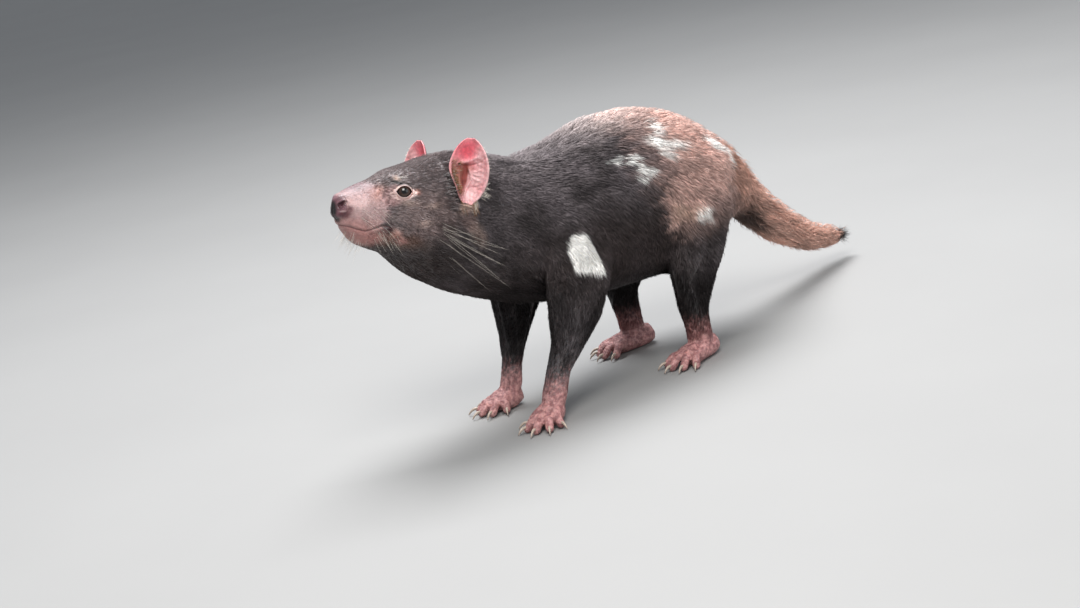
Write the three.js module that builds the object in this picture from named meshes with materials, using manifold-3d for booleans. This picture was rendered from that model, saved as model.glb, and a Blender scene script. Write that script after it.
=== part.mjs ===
// A life-size Tasmanian devil that stands still with its head raised and its tail held out behind.
// Millimetres, +Z up. The animal faces -X, its left side is towards -Y, and the floor is z = 0.
// The solids reach to the surface of the short coat.
// The origin is on the floor under the middle of the animal.
import * as THREE from "three";
import Module from "manifold-3d";
import { mergeVertices } from "three/addons/utils/BufferGeometryUtils.js";

const wasm = await Module();
wasm.setup();

// Driving dimensions
const GAP = 0.3; // clearance between touching pieces
const HEAD_LENGTH = 127; // nose tip to the back of the head
const HEAD_BASE = new THREE.Vector3(-85, 0, 212); // where the skull meets the neck, before centring
const HEAD_PITCH = 16; // degrees that the head is raised
const HEAD_YAW = 6; // degrees that the head turns to the animal's right
const TAIL_TURN = 14; // degrees that the tail swings to the animal's right
const EYE_RADIUS = 7.6;
const LID_THICKNESS = 1.3;
const EYE_SEAT = { ahead: 67, side: 24.5, above: 24.3 }; // centre of each eyeball, from the head base
const EYE_FACING = { ahead: 0.4, side: 0.88, above: 0.22 };
const EAR_HEIGHT = 62;
const EAR_THICKNESS = 2.6;
const POCKET_FRONT = 7; // how far the ear's pocket in the head reaches ahead of the ear's edges
const EAR_FLARE = 76; // degrees that the bottom of each cup faces outwards
const MOUTH_GAP = 0.35; // between the lips
const CENTRE = new THREE.Vector3(145, -3, 0); // middle of the footprint, taken off every piece

// Fineness: facets round each piece, and the steps along the animal.
const BODY_SIDES = 32;
const LEG_SIDES = 16;
const PALM_SIDES = 12;
const TOE_SIDES = 7;
const CLAW_SIDES = 6;
const STEPS = { noseTip: 1.5, face: 4.2, body: 18, tailTip: 6 };

const radians = THREE.MathUtils.degToRad;

// A row of values between the rows of a table, by a cubic through the neighbouring rows.
function between(rows, at) {
  let i = 0;
  while (i < rows.length - 2 && rows[i + 1].at <= at) i++;
  const [a, b] = [rows[i], rows[i + 1]];
  const before = rows[Math.max(0, i - 1)];
  const after = rows[Math.min(rows.length - 1, i + 2)];
  const span = b.at - a.at;
  const t = (at - a.at) / span;
  const row = { at };
  for (const key of Object.keys(a)) {
    if (key === "at") continue;
    const leave = ((b[key] - before[key]) / (b.at - before.at)) * span;
    const arrive = ((after[key] - a[key]) / (after.at - a.at)) * span;
    row[key] =
      (2 * t ** 3 - 3 * t ** 2 + 1) * a[key] +
      (t ** 3 - 2 * t ** 2 + t) * leave +
      (3 * t ** 2 - 2 * t ** 3) * b[key] +
      (t ** 3 - t ** 2) * arrive;
  }
  return row;
}

// One ring of points: a rounded outline of different heights above and below its widest line.
function ring(centre, side, up, row, sides, grow = 0) {
  const points = [];
  for (let i = 0; i < sides; i++) {
    const angle = (2 * Math.PI * (i + 0.5)) / sides;
    const [c, s] = [Math.cos(angle), Math.sin(angle)];
    const power = 2 / (row.round ?? 2);
    const across = Math.sign(c) * Math.abs(c) ** power * (row.wide + grow);
    const high =
      Math.sign(s) * Math.abs(s) ** power * ((s > 0 ? row.up : row.down) + grow);
    points.push(
      centre.clone().addScaledVector(side, across).addScaledVector(up, high),
    );
  }
  return points;
}

// A closed skin over rings of equally many points, closed by a fan at each end.
function loft(rings) {
  const sides = rings[0].length;
  const middle = (points) =>
    points
      .reduce((sum, p) => sum.add(p), new THREE.Vector3())
      .divideScalar(points.length);
  const points = [...rings.flat(), middle(rings[0]), middle(rings.at(-1))];
  const [first, last] = [points.length - 2, points.length - 1];
  const index = [];
  for (let i = 0; i < sides; i++) {
    const j = (i + 1) % sides;
    for (let k = 0; k + 1 < rings.length; k++) {
      const [a, b] = [k * sides + i, k * sides + j];
      index.push(a, b, b + sides, a, b + sides, a + sides);
    }
    const end = (rings.length - 1) * sides;
    index.push(first, j, i, last, end + i, end + j);
  }
  const geometry = new THREE.BufferGeometry().setFromPoints(points);
  geometry.setIndex(index);
  return geometry;
}

// A closed geometry as a solid, turned right side out.
function solid(geometry, matrix) {
  const bare = new THREE.BufferGeometry();
  bare.setAttribute("position", geometry.getAttribute("position").clone());
  bare.setIndex(geometry.index);
  if (matrix) bare.applyMatrix4(matrix);
  const merged = mergeVertices(bare, 1e-4);
  const positions = merged.getAttribute("position");
  const index = Array.from(merged.index.array);
  const [a, b, c] = [0, 1, 2].map(() => new THREE.Vector3());
  let volume = 0;
  for (let i = 0; i < index.length; i += 3) {
    a.fromBufferAttribute(positions, index[i]);
    b.fromBufferAttribute(positions, index[i + 1]);
    c.fromBufferAttribute(positions, index[i + 2]);
    volume += a.dot(b.cross(c));
  }
  if (volume < 0)
    for (let i = 0; i < index.length; i += 3)
      [index[i + 1], index[i + 2]] = [index[i + 2], index[i + 1]];
  return new wasm.Manifold(
    new wasm.Mesh({
      numProp: 3,
      vertProperties: positions.array,
      triVerts: new Uint32Array(index),
    }),
  );
}

// The largest closed piece of a solid, which leaves scraps of a cut behind.
function largest(made) {
  return made
    .decompose()
    .reduce((most, piece) => (piece.volume() > most.volume() ? piece : most));
}

// The part of a solid on the far side of a plane, half a gap away from it.
function beyond(made, normal, point) {
  return made.trimByPlane(normal.toArray(), normal.dot(point) + GAP / 2);
}

function cutInTwo(made, normal, point) {
  return [
    beyond(made, normal, point),
    beyond(made, normal.clone().negate(), point),
  ];
}

function ellipsoid(centre, radii, rotation, segments = 16) {
  const matrix = new THREE.Matrix4().compose(
    centre,
    rotation ?? new THREE.Quaternion(),
    new THREE.Vector3(...radii),
  );
  return solid(
    new THREE.SphereGeometry(1, segments, Math.round(segments * 0.6)),
    matrix,
  );
}

// The head's own frame: ahead towards the nose, side towards the animal's right, above towards the crown.
const AHEAD = new THREE.Vector3(
  -Math.cos(radians(HEAD_YAW)) * Math.cos(radians(HEAD_PITCH)),
  Math.sin(radians(HEAD_YAW)) * Math.cos(radians(HEAD_PITCH)),
  Math.sin(radians(HEAD_PITCH)),
);
const SIDE = new THREE.Vector3(
  Math.sin(radians(HEAD_YAW)),
  Math.cos(radians(HEAD_YAW)),
  0,
);
const ABOVE = new THREE.Vector3().crossVectors(SIDE, AHEAD);
if (ABOVE.z < 0) ABOVE.negate();

function onHead(ahead, side, above) {
  return HEAD_BASE.clone()
    .addScaledVector(AHEAD, ahead)
    .addScaledVector(SIDE, side)
    .addScaledVector(ABOVE, above);
}

// Head sections, from the nose back: distance ahead of the head base, height of the widest line, half
// width, height above and below the widest line, and roundness.
const HEAD_SECTIONS = [
  [126.6, 9, 3.5, 4, 4.5, 2],
  [124.5, 9, 8, 8, 9, 2],
  [120, 7, 13, 14.5, 12, 2.1],
  [112, 3, 17.5, 23, 17.5, 2.2],
  [101, 0, 21.5, 30.5, 24.5, 2.3],
  [88, -1, 24.5, 37, 29, 2.3],
  [75, -2, 30, 44.5, 31.5, 2.2],
  [61, -4, 40.5, 51.5, 38.5, 2.2],
  [44, -5, 49, 58.5, 49, 2.2],
  [25, -5, 53.5, 65, 57, 2.2],
  [2, -5, 55.5, 67.5, 65, 2.2],
];
// Trunk sections, from the neck back: x, y, height of the widest line, half width, height above and below
// it, and pitch.
const TRUNK_SECTIONS = [
  [-45, 0, 190, 57, 72.5, 71, 10],
  [0, 0, 178, 62, 71, 75, 3],
  [50, 0, 172, 67, 79.5, 80, 0],
  [100, 0, 172, 71, 89, 85, 0],
  [150, 0, 168, 70, 91.5, 84, 4],
  [195, 0, 162, 64, 79, 74, 10],
  [235, 0, 154, 53, 59, 58, 20],
  [264, 0, 145, 41, 40, 40, 30],
  [287, 1, 135, 28, 27, 27, 38],
];
// Tail sections: distance beyond the root, height of the middle, half width and half thickness, and pitch.
const TAIL_SECTIONS = [
  [22, 116, 22, 22.5, 42],
  [46, 96, 20, 21, 40],
  [74, 76.5, 19, 20, 36],
  [107, 57.5, 18, 18.5, 30],
  [140, 43, 15.5, 16, 23],
  [172, 34, 13.5, 14, 16],
  [194, 29.5, 11.5, 12.5, 12],
  [208, 27.5, 8, 8.5, 10],
  [214, 27, 2.5, 3, 9],
];
const TAIL_ROOT = new THREE.Vector3(287, 1, 0);

// The whole animal's centre line, from the nose to the tail's tip, as rows with a distance along it.
function bodyRows() {
  const rows = [];
  for (const [ahead, lift, wide, up, down, round] of HEAD_SECTIONS) {
    const { x, y, z } = onHead(ahead, 0, lift);
    rows.push({ x, y, z, wide, up, down, round, pitch: HEAD_PITCH, yaw: HEAD_YAW });
  }
  for (const [x, y, z, wide, up, down, pitch] of TRUNK_SECTIONS) {
    const yaw = x < 0 ? HEAD_YAW / 2 : 0;
    rows.push({ x, y, z, wide, up, down, round: 2.1, pitch, yaw });
  }
  for (const [out, z, wide, thick, pitch] of TAIL_SECTIONS) {
    const x = TAIL_ROOT.x + out * Math.cos(radians(TAIL_TURN));
    const y = TAIL_ROOT.y + out * Math.sin(radians(TAIL_TURN));
    rows.push({ x, y, z, wide, up: thick, down: thick, round: 2, pitch, yaw: -TAIL_TURN });
  }
  rows.forEach((row, i) => {
    const last = rows[i - 1];
    row.at = last
      ? last.at + Math.hypot(row.x - last.x, row.y - last.y, row.z - last.z)
      : 0;
  });
  return rows;
}

// Swellings and hollows of the face: place on the head, reach and height, the same on both sides.
const FACE_FORMS = [
  { name: "brow", ahead: 70, side: 19, above: 38, reach: 11, height: 3 },
  { name: "hollow ahead of the eye", ahead: 81, side: 24, above: 21, reach: 10, height: -2 },
  { name: "lids", ahead: 67, side: 30, above: 25, reach: 10, height: 2.2 },
  { name: "whisker pad", ahead: 106, side: 19, above: 4, reach: 13, height: 3 },
  { name: "cheek", ahead: 50, side: 44, above: -10, reach: 18, height: 3 },
  { name: "chin", ahead: 106, side: 8, above: -22, reach: 9, height: 2.2 },
  { name: "mouth corner", ahead: 70, side: 26, above: -20, reach: 9, height: 3 },
  { name: "temple", ahead: 48, side: 34, above: 36, reach: 14, height: -2.2 },
];

// The mouth: the line between the lips in the head's side view, from the front back to its corner, and the
// way on behind the jaw.
const MOUTH_LINE = [
  [140, -5.5],
  [121, -8],
  [107, -12.2],
  [93, -12.4],
  [82, -12],
  [75, -13.5],
  [68, -18],
];
const JAW_BACK = [
  [50, -30],
  [34, -46],
  [26, -90],
  [140, -90],
];
const LIPS = { reach: 4.5, upper: 1.3, lower: -0.6 }; // the upper lip hangs over the lower one

function mouthHeight(ahead) {
  const i = MOUTH_LINE.findIndex(([at]) => at <= ahead);
  if (i < 1) return null;
  const [[a, high], [b, low]] = [MOUTH_LINE[i - 1], MOUTH_LINE[i]];
  return THREE.MathUtils.mapLinear(ahead, a, b, high, low);
}

// How far the face stands out at a point of the head.
function formAt(point) {
  const from = point.clone().sub(HEAD_BASE);
  const [ahead, side, above] = [AHEAD, SIDE, ABOVE].map((axis) => from.dot(axis));
  let height = 0;
  const mouth = mouthHeight(ahead);
  if (mouth !== null) {
    const away = above - mouth;
    height += (away > 0 ? LIPS.upper : LIPS.lower) * Math.exp(-((away / LIPS.reach) ** 2));
  }
  for (const form of FACE_FORMS) {
    const away =
      (ahead - form.ahead) ** 2 +
      (Math.abs(side) - form.side) ** 2 +
      (above - form.above) ** 2;
    height += form.height * Math.exp(-away / form.reach ** 2);
  }
  return height;
}

// Head, neck, trunk and tail as one solid. Grown by the gap, it trims what grows out of it.
function wholeBody(grow = 0) {
  const rows = bodyRows();
  const length = rows.at(-1).at;
  const stops = [];
  for (let at = 0; at < length - STEPS.tailTip / 2; ) {
    stops.push(at);
    if (at < 6) at += STEPS.noseTip;
    else if (at < HEAD_LENGTH) at += STEPS.face;
    else if (at < length - 4 * STEPS.tailTip) at += STEPS.body;
    else at += STEPS.tailTip;
  }
  const rings = [...stops, length].map((at) => {
    const row = between(rows, at);
    const pitch = radians(row.pitch);
    const yaw = radians(row.yaw);
    const ahead = new THREE.Vector3(
      -Math.cos(yaw) * Math.cos(pitch),
      Math.sin(yaw) * Math.cos(pitch),
      Math.sin(pitch),
    );
    const side = new THREE.Vector3(Math.sin(yaw), Math.cos(yaw), 0);
    const up = new THREE.Vector3().crossVectors(side, ahead);
    const centre = new THREE.Vector3(row.x, row.y, row.z);
    const points = ring(centre, side, up, row, BODY_SIDES, grow);
    if (at < HEAD_LENGTH)
      for (const point of points) {
        const out = point.clone().sub(centre).normalize();
        point.addScaledVector(out, formAt(point));
      }
    return points;
  });
  return solid(loft(rings));
}

// A leg, palm, toe or claw as a loft of sections that face along its middle line. Each section states its
// place, half width across and half depth.
function limb(sections, sides, across, grow = 0) {
  const places = sections.map(([x, y, z]) => new THREE.Vector3(x, y, z));
  const rings = sections.map(([, , , wide, deep], i) => {
    const last = places[Math.max(0, i - 1)];
    const next = places[Math.min(places.length - 1, i + 1)];
    const along = next.clone().sub(last);
    const deepAxis = new THREE.Vector3().crossVectors(along, across).normalize();
    const wideAxis = new THREE.Vector3().crossVectors(deepAxis, along).normalize();
    return ring(places[i], wideAxis, deepAxis, { wide, up: deep, down: deep }, sides, grow);
  });
  return solid(loft(rings));
}

// Limb sections: x, distance from the middle plane, height, half width across and half depth.
const FRONT_LIMB = {
  left: [
    [31, 34, 214, 8, 14],
    [29, 42, 203, 17, 25],
    [25, 46, 187, 20.5, 34],
    [18, 51, 160, 23, 41],
    [10, 54, 125, 22, 38],
    [0, 53, 98, 20, 31],
    [-12, 51, 74, 16, 20],
    [-23, 49, 56, 13.5, 13],
    [-34, 48, 38, 12, 11.5],
    [-41, 48, 25, 12.5, 11.5],
    [-47, 48, 13, 12, 10],
  ],
  right: [
    [31, 34, 214, 8, 14],
    [29, 41, 203, 17, 25],
    [25, 45, 187, 20.5, 34],
    [18, 49, 160, 23, 40],
    [12, 47, 125, 21, 36],
    [2, 43, 98, 19, 27],
    [-8, 40, 74, 15, 17],
    [-15, 38, 56, 12.5, 11.5],
    [-20, 37, 40, 10.5, 10],
    [-25, 36.5, 26, 11.5, 10.5],
    [-31, 36.5, 13, 11.5, 9.5],
  ],
};
const HIND_LIMB = [
  [206, 28, 206, 7, 14],
  [204, 37, 195, 20, 29],
  [200, 43, 178, 24.5, 39],
  [187, 50, 150, 26, 40],
  [173, 54, 122, 24.5, 35],
  [161, 56, 97, 21.5, 30],
  [152, 56, 74, 17.5, 23.5],
  [149, 55, 54, 14.5, 17],
  [151, 54.5, 38, 13.5, 15],
  [152, 54, 24, 13, 13],
  [150, 54, 13, 11.5, 11],
];
// Paws: place of the palm's middle, heading of the toes in degrees outwards, and for each toe its angle
// from that heading, its length and how far out its root sits.
const FRONT_TOES = [
  { turn: -62, length: 14, root: 10 },
  { turn: -30, length: 19, root: 13 },
  { turn: -3, length: 20.5, root: 14 },
  { turn: 24, length: 19, root: 13 },
  { turn: 54, length: 15, root: 11 },
];
const HIND_TOES = [
  { turn: -26, length: 17, root: 30 },
  { turn: -8, length: 19, root: 32 },
  { turn: 10, length: 18, root: 31 },
  { turn: 28, length: 16, root: 28 },
];
const TOE_RADIUS = 4.1;
const TOE_WIDTHS = [0.9, 1.08, 1, 1.06, 0.72]; // from the root to the end, in toe radii
const CLAW_LENGTH = 8.5;
// Claw sections: share of the length beyond the toe's end, height, half width and half depth.
const CLAW_SECTIONS = [
  [-0.27, 6.2, 1.5, 1.7],
  [0.25, 6.6, 1.45, 1.8],
  [0.6, 5, 1.15, 1.4],
  [0.88, 2.6, 0.7, 0.9],
  [1, 1.2, 0.3, 0.35],
];

function pawFrame(paw) {
  const middle = new THREE.Vector3(paw.x, paw.sign * paw.y, 0);
  // A direction on the floor, turned outwards by some degrees from straight ahead.
  const heading = (turn) => {
    const angle = radians(paw.heading + turn);
    return new THREE.Vector3(-Math.cos(angle), paw.sign * Math.sin(angle), 0);
  };
  return { middle, heading };
}

// Middle line of a toe: from its root in the palm, over the knuckle, and down to the floor.
function toeLine(paw, toe) {
  const { middle, heading } = pawFrame(paw);
  const way = heading(toe.turn);
  const root = middle.clone().addScaledVector(heading(toe.turn * 0.6), toe.root * 0.45);
  const along = (distance, height) =>
    root
      .clone()
      .addScaledVector(way, distance)
      .setZ(height);
  const reach = toe.root * 0.55;
  return {
    way,
    points: [
      along(-4, 9.5),
      along(reach, 11),
      along(reach + toe.length * 0.45, 10),
      along(reach + toe.length * 0.8, 4.1),
      along(reach + toe.length, 2.9),
    ],
  };
}

function toeSolid(paw, toe) {
  const { way, points } = toeLine(paw, toe);
  const across = new THREE.Vector3(-way.y, way.x, 0);
  const sections = points.map(({ x, y, z }, i) => {
    const radius = TOE_RADIUS * TOE_WIDTHS[i];
    return [x, y, z, radius, radius];
  });
  return limb(sections, TOE_SIDES, across);
}

// A claw curves out of the end of its toe and down, to a tip just above the floor.
function clawSolid(paw, toe, grow = 0) {
  const { way, points } = toeLine(paw, toe);
  const across = new THREE.Vector3(-way.y, way.x, 0);
  const sections = CLAW_SECTIONS.map(([share, height, wide, deep]) => {
    const p = points.at(-1).clone().addScaledVector(way, share * CLAW_LENGTH);
    return [p.x, p.y, height, wide, deep];
  });
  return limb(sections, CLAW_SIDES, across, grow);
}

function palmSolid(paw) {
  const { middle, heading } = pawFrame(paw);
  const way = heading(0);
  const across = new THREE.Vector3(-way.y, way.x, 0);
  const sections = paw.palm.map(([out, height, wide, deep]) => {
    const p = middle.clone().addScaledVector(way, out);
    return [p.x, p.y, height, wide, deep];
  });
  return limb(sections, PALM_SIDES, across);
}

// Palm and sole sections: distance towards the toes, height, half width and half depth.
const FRONT_PALM = [
  [-14, 16, 5, 5],
  [-12, 13, 11, 10],
  [-4, 10.5, 14, 11.4],
  [6, 9.5, 15.5, 10.4],
  [13, 9, 13, 7.5],
  [16, 9, 6, 4],
];
const HIND_PALM = [
  [-20, 12, 4, 5],
  [-17, 11, 9, 10],
  [-6, 10.5, 12, 11.4],
  [8, 10, 13, 10.9],
  [22, 9.5, 14.5, 10.4],
  [31, 9, 13, 7.5],
  [35, 9, 6, 4],
];
// What both front legs share, and both hind legs: toes, palm, and the heights of the cuts at the elbow or
// knee and at the wrist or ankle.
const FRONT = { toes: FRONT_TOES, palm: FRONT_PALM, cuts: [100, 33] };
const HIND = { toes: HIND_TOES, palm: HIND_PALM, cuts: [92, 27], limb: HIND_LIMB };
// Each leg's palm, the heading of its toes, and how far back its foot is set from the limb's own sections.
const PAWS = [
  { name: "front_left", sign: -1, x: -53, y: 51, heading: 24, back: 0, limb: FRONT_LIMB.left, ...FRONT },
  { name: "front_right", sign: 1, x: -35, y: 37, heading: 9, back: 0, limb: FRONT_LIMB.right, ...FRONT },
  { name: "hind_left", sign: -1, x: 154, y: 54, heading: 9, back: 0, ...HIND },
  { name: "hind_right", sign: 1, x: 160, y: 52, heading: 8, back: 6, ...HIND },
];

// All that lies below the floor.
const FLOOR_BLOCK = solid(
  new THREE.BoxGeometry(1200, 600, 60),
  new THREE.Matrix4().makeTranslation(CENTRE.x, CENTRE.y, -30),
);

// One leg: its upper part, lower part, paw and claws, each trimmed clear of the trunk and of the floor.
function leg(paw, trunkTool) {
  const top = paw.limb[0][2];
  const sections = paw.limb.map(([x, y, z, wide, deep]) => [
    x + paw.back * (1 - z / top),
    paw.sign * y,
    z,
    wide,
    deep,
  ]);
  let whole = limb(sections, LEG_SIDES, new THREE.Vector3(0, 1, 0)).add(palmSolid(paw));
  const pieces = [];
  for (const toe of paw.toes) whole = whole.add(toeSolid(paw, toe));
  paw.toes.forEach((toe, i) => {
    whole = whole.subtract(clawSolid(paw, toe, GAP));
    pieces.push([`claw_${paw.name}_${i + 1}`, clawSolid(paw, toe)]);
  });
  whole = largest(whole.subtract(trunkTool).subtract(FLOOR_BLOCK));
  const up = new THREE.Vector3(0, 0, 1);
  const [high, low] = paw.cuts.map((height) => new THREE.Vector3(0, 0, height));
  const [upper, rest] = cutInTwo(whole, up, high);
  const [lower, foot] = cutInTwo(rest, up, low);
  pieces.push([`upper_leg_${paw.name}`, largest(upper)]);
  pieces.push([`lower_leg_${paw.name}`, largest(lower)]);
  pieces.push([`paw_${paw.name}`, largest(foot)]);
  return pieces;
}

// Each ear: the bottom of its cup from the head base, and the degrees that its top faces outwards.
const EARS = {
  left: { sign: -1, ahead: 14, side: 50.5, above: 14.5, turn: 50 },
  right: { sign: 1, ahead: 13, side: 48, above: 9, turn: -5 },
};

// The directions of an ear at a share of its height: out of the cup, and across it. The cup twists from
// its flared bottom to its top.
function earDirections(ear, share) {
  const top = THREE.MathUtils.smoothstep(share, 0.05, 0.6);
  const turn = radians(THREE.MathUtils.lerp(EAR_FLARE, ear.turn, top));
  const facing = new THREE.Vector3()
    .addScaledVector(AHEAD, Math.cos(turn))
    .addScaledVector(SIDE, ear.sign * Math.sin(turn));
  return { facing, across: new THREE.Vector3().crossVectors(ABOVE, facing) };
}

// A closed leaf between a front and a back surface, each a grid of points by height and width.
function leaf(front, back) {
  const [rows, columns] = [front.length - 1, front[0].length - 1];
  const geometry = new THREE.BufferGeometry().setFromPoints([...front.flat(), ...back.flat()]);
  const shift = (rows + 1) * (columns + 1);
  const place = (r, c) => r * (columns + 1) + c;
  const index = [];
  const strip = (a, b) => index.push(a, b, b + shift, a, b + shift, a + shift);
  for (let r = 0; r < rows; r++)
    for (let c = 0; c < columns; c++) {
      const [a, b, d, e] = [place(r, c), place(r, c + 1), place(r + 1, c + 1), place(r + 1, c)];
      index.push(a, d, b, a, e, d);
      index.push(a + shift, b + shift, d + shift, a + shift, d + shift, e + shift);
    }
  for (let r = 0; r < rows; r++) {
    strip(place(r + 1, 0), place(r, 0));
    strip(place(r, columns), place(r + 1, columns));
  }
  for (let c = 0; c < columns; c++) {
    strip(place(0, c), place(0, c + 1));
    strip(place(rows, c + 1), place(rows, c));
  }
  geometry.setIndex(index);
  return geometry;
}

// An ear: a deep cup below that opens into a rounded leaf above. The pocket is the same shape filled out
// to the front, grown by the gap, and it seats the ear in the head.
function earSolid(ear, pocket = false) {
  const table = EAR_SECTIONS.map(([at, half, sag, edge]) => ({ at, half, sag, edge }));
  const root = onHead(ear.ahead, ear.sign * ear.side, ear.above);
  const [rows, columns] = EAR_GRID;
  const [front, back] = [[], []];
  for (let r = 0; r <= rows; r++) {
    const share = 1 - (1 - r / rows) ** 1.25;
    const { facing, across } = earDirections(ear, share);
    const { half, sag, edge } = between(table, share);
    const radius = (half ** 2 + sag ** 2) / (2 * sag);
    const bend = 2 * Math.atan(sag / half);
    const thick = THREE.MathUtils.lerp(EAR_THICKNESS, EAR_THICKNESS * 0.65, share);
    const grow = pocket ? GAP : 0;
    const row = (size, lift) =>
      Array.from({ length: columns + 1 }, (_, c) => {
        const angle = bend * ((2 * c) / columns - 1) * (1 + grow / half);
        return root
          .clone()
          .addScaledVector(ABOVE, share * EAR_HEIGHT + (r === 0 ? -grow : 0))
          .addScaledVector(across, size * Math.sin(angle))
          .addScaledVector(facing, lift ?? edge + radius * Math.cos(bend) - size * Math.cos(angle));
      });
    back.push(row(radius + thick / 2 + grow));
    front.push(pocket ? row(radius + thick / 2 + grow, POCKET_FRONT) : row(radius - thick / 2));
  }
  return solid(leaf(front, back));
}

const EAR_GRID = [11, 8]; // steps up and across each ear
// Ear sections: share of the height, half width of the cup, how far its middle lies behind its edges, and
// how far the edges lie ahead of the seat.
const EAR_SECTIONS = [
  [0, 5, 3.3, -1.5],
  [0.08, 9.5, 8, 0],
  [0.2, 14, 12, 1],
  [0.35, 17.3, 13, 1],
  [0.5, 18.5, 11.5, 0.5],
  [0.65, 17.8, 9, 0],
  [0.8, 14.5, 6.2, -1],
  [0.9, 10.5, 4, -2],
  [0.97, 6.5, 2.4, -3],
  [1, 3.2, 1.2, -3.5],
];

// The opening of the lids: half its length, and how far the curves of its upper and lower edge are drawn out.
const LIDS = { half: 6.6, front: -1, rear: -0.4, upper: 8.2, lower: -8.6, depth: 14 };

function eyeFrame(sign) {
  const centre = onHead(EYE_SEAT.ahead, sign * EYE_SEAT.side, EYE_SEAT.above);
  const out = new THREE.Vector3()
    .addScaledVector(AHEAD, EYE_FACING.ahead)
    .addScaledVector(SIDE, sign * EYE_FACING.side)
    .addScaledVector(ABOVE, EYE_FACING.above)
    .normalize();
  const high = ABOVE.clone().addScaledVector(out, -ABOVE.dot(out)).normalize();
  const long = new THREE.Vector3().crossVectors(high, out);
  const matrix = new THREE.Matrix4().makeBasis(long, high, out).setPosition(centre);
  return { centre, matrix };
}

// The opening of the lids, an almond that faces out of the socket.
function almond(sign) {
  const outline = new THREE.Shape();
  outline.moveTo(-LIDS.half, LIDS.front);
  outline.quadraticCurveTo(-0.5, LIDS.upper, LIDS.half, LIDS.rear);
  outline.quadraticCurveTo(0.5, LIDS.lower, -LIDS.half, LIDS.front);
  const geometry = new THREE.ExtrudeGeometry(outline, {
    depth: LIDS.depth,
    bevelEnabled: false,
    curveSegments: 8,
  });
  return solid(geometry, eyeFrame(sign).matrix);
}

// The block that holds the lower jaw, seen from the side.
function jawTool(shift) {
  const outline = new THREE.Shape(
    [...MOUTH_LINE, ...JAW_BACK].map(
      ([ahead, above]) => new THREE.Vector2(ahead + shift, above - shift),
    ),
  );
  const geometry = new THREE.ExtrudeGeometry(outline, { depth: 200, bevelEnabled: false });
  const basis = new THREE.Matrix4().makeBasis(AHEAD, ABOVE, SIDE).setPosition(onHead(0, -100, 0));
  return solid(geometry, basis);
}

// The nose pad sits in the end of the muzzle and stands a little proud of it. Each nostril is a round hole
// to the front with a slit that curls outwards and back from it.
const NOSE = { ahead: 121, above: 10, long: 10.5, high: 12, wide: 15, proud: 1.2 };
const NOSTRIL = { ahead: 3.5, side: 7.4, above: 1.8, deep: 5, high: 3.1, wide: 2.8 };
const SLIT = { ahead: -1.5, side: 12, above: 0.4, long: 5, high: 1.2, wide: 4 };

function noseParts() {
  const turn = new THREE.Quaternion().setFromRotationMatrix(
    new THREE.Matrix4().makeBasis(AHEAD, ABOVE, SIDE),
  );
  const pad = (grow) =>
    ellipsoid(
      onHead(NOSE.ahead, 0, NOSE.above),
      [NOSE.long + grow, NOSE.high + grow, NOSE.wide + grow],
      turn,
      14,
    );
  let nose = pad(0).intersect(wholeBody(NOSE.proud));
  for (const sign of [-1, 1]) {
    const hole = ellipsoid(
      onHead(NOSE.ahead + NOSTRIL.ahead, sign * NOSTRIL.side, NOSE.above + NOSTRIL.above),
      [NOSTRIL.deep, NOSTRIL.high, NOSTRIL.wide],
      turn,
      7,
    );
    const slit = ellipsoid(
      onHead(NOSE.ahead + SLIT.ahead, sign * SLIT.side, NOSE.above + SLIT.above),
      [SLIT.long, SLIT.high, SLIT.wide],
      turn,
      7,
    );
    nose = nose.subtract(hole).subtract(slit);
  }
  return { nose, tool: pad(GAP) };
}

// Assembly
const materials = {
  coat: new THREE.MeshStandardMaterial({ color: 0x2b2321, roughness: 0.85 }),
  rumpCoat: new THREE.MeshStandardMaterial({ color: 0x5a3d33, roughness: 0.88 }),
  bareSkin: new THREE.MeshStandardMaterial({ color: 0xb57a72, roughness: 0.6 }),
  nosePad: new THREE.MeshStandardMaterial({ color: 0x4a2b2b, roughness: 0.35 }),
  eye: new THREE.MeshStandardMaterial({ color: 0x0c0a0a, roughness: 0.05 }),
  claw: new THREE.MeshStandardMaterial({ color: 0xb9a592, roughness: 0.45 }),
};

const root = new THREE.Group();

// A solid as a named mesh, placed by its middle.
function show(name, made, material) {
  const mesh = made.getMesh();
  const geometry = new THREE.BufferGeometry();
  geometry.setAttribute("position", new THREE.BufferAttribute(mesh.vertProperties, 3));
  geometry.setIndex(new THREE.BufferAttribute(mesh.triVerts, 1));
  geometry.computeBoundingBox();
  const middle = geometry.boundingBox.getCenter(new THREE.Vector3());
  geometry.translate(-middle.x, -middle.y, -middle.z);
  geometry.computeVertexNormals();
  const shown = new THREE.Mesh(geometry, material);
  shown.name = name;
  shown.position.copy(middle).sub(CENTRE);
  root.add(shown);
}

// A direction to the rear, by its pitch downwards and its turn to the animal's right.
function pitched(pitch, turn) {
  return new THREE.Vector3(
    Math.cos(radians(turn)) * Math.cos(radians(pitch)),
    Math.sin(radians(turn)) * Math.cos(radians(pitch)),
    -Math.sin(radians(pitch)),
  );
}

// The normal and point of a cut across the tail.
function tailCut({ out, z, pitch }) {
  return [pitched(pitch, TAIL_TURN), TAIL_ROOT.clone().addScaledVector(pitched(0, TAIL_TURN), out).setZ(z)];
}

// Where the body is parted: behind the head, ahead of the shoulders, and three times across the tail.
const CUTS = {
  head: -2,
  neck: { point: new THREE.Vector3(-28, 0, 185), pitch: 8 },
  tail: [
    { out: 4, z: 132, pitch: 38 },
    { out: 72, z: 78, pitch: 37 },
    { out: 135, z: 43, pitch: 26 },
  ],
};

const body = wholeBody();
const bodyTool = wholeBody(GAP);

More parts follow.
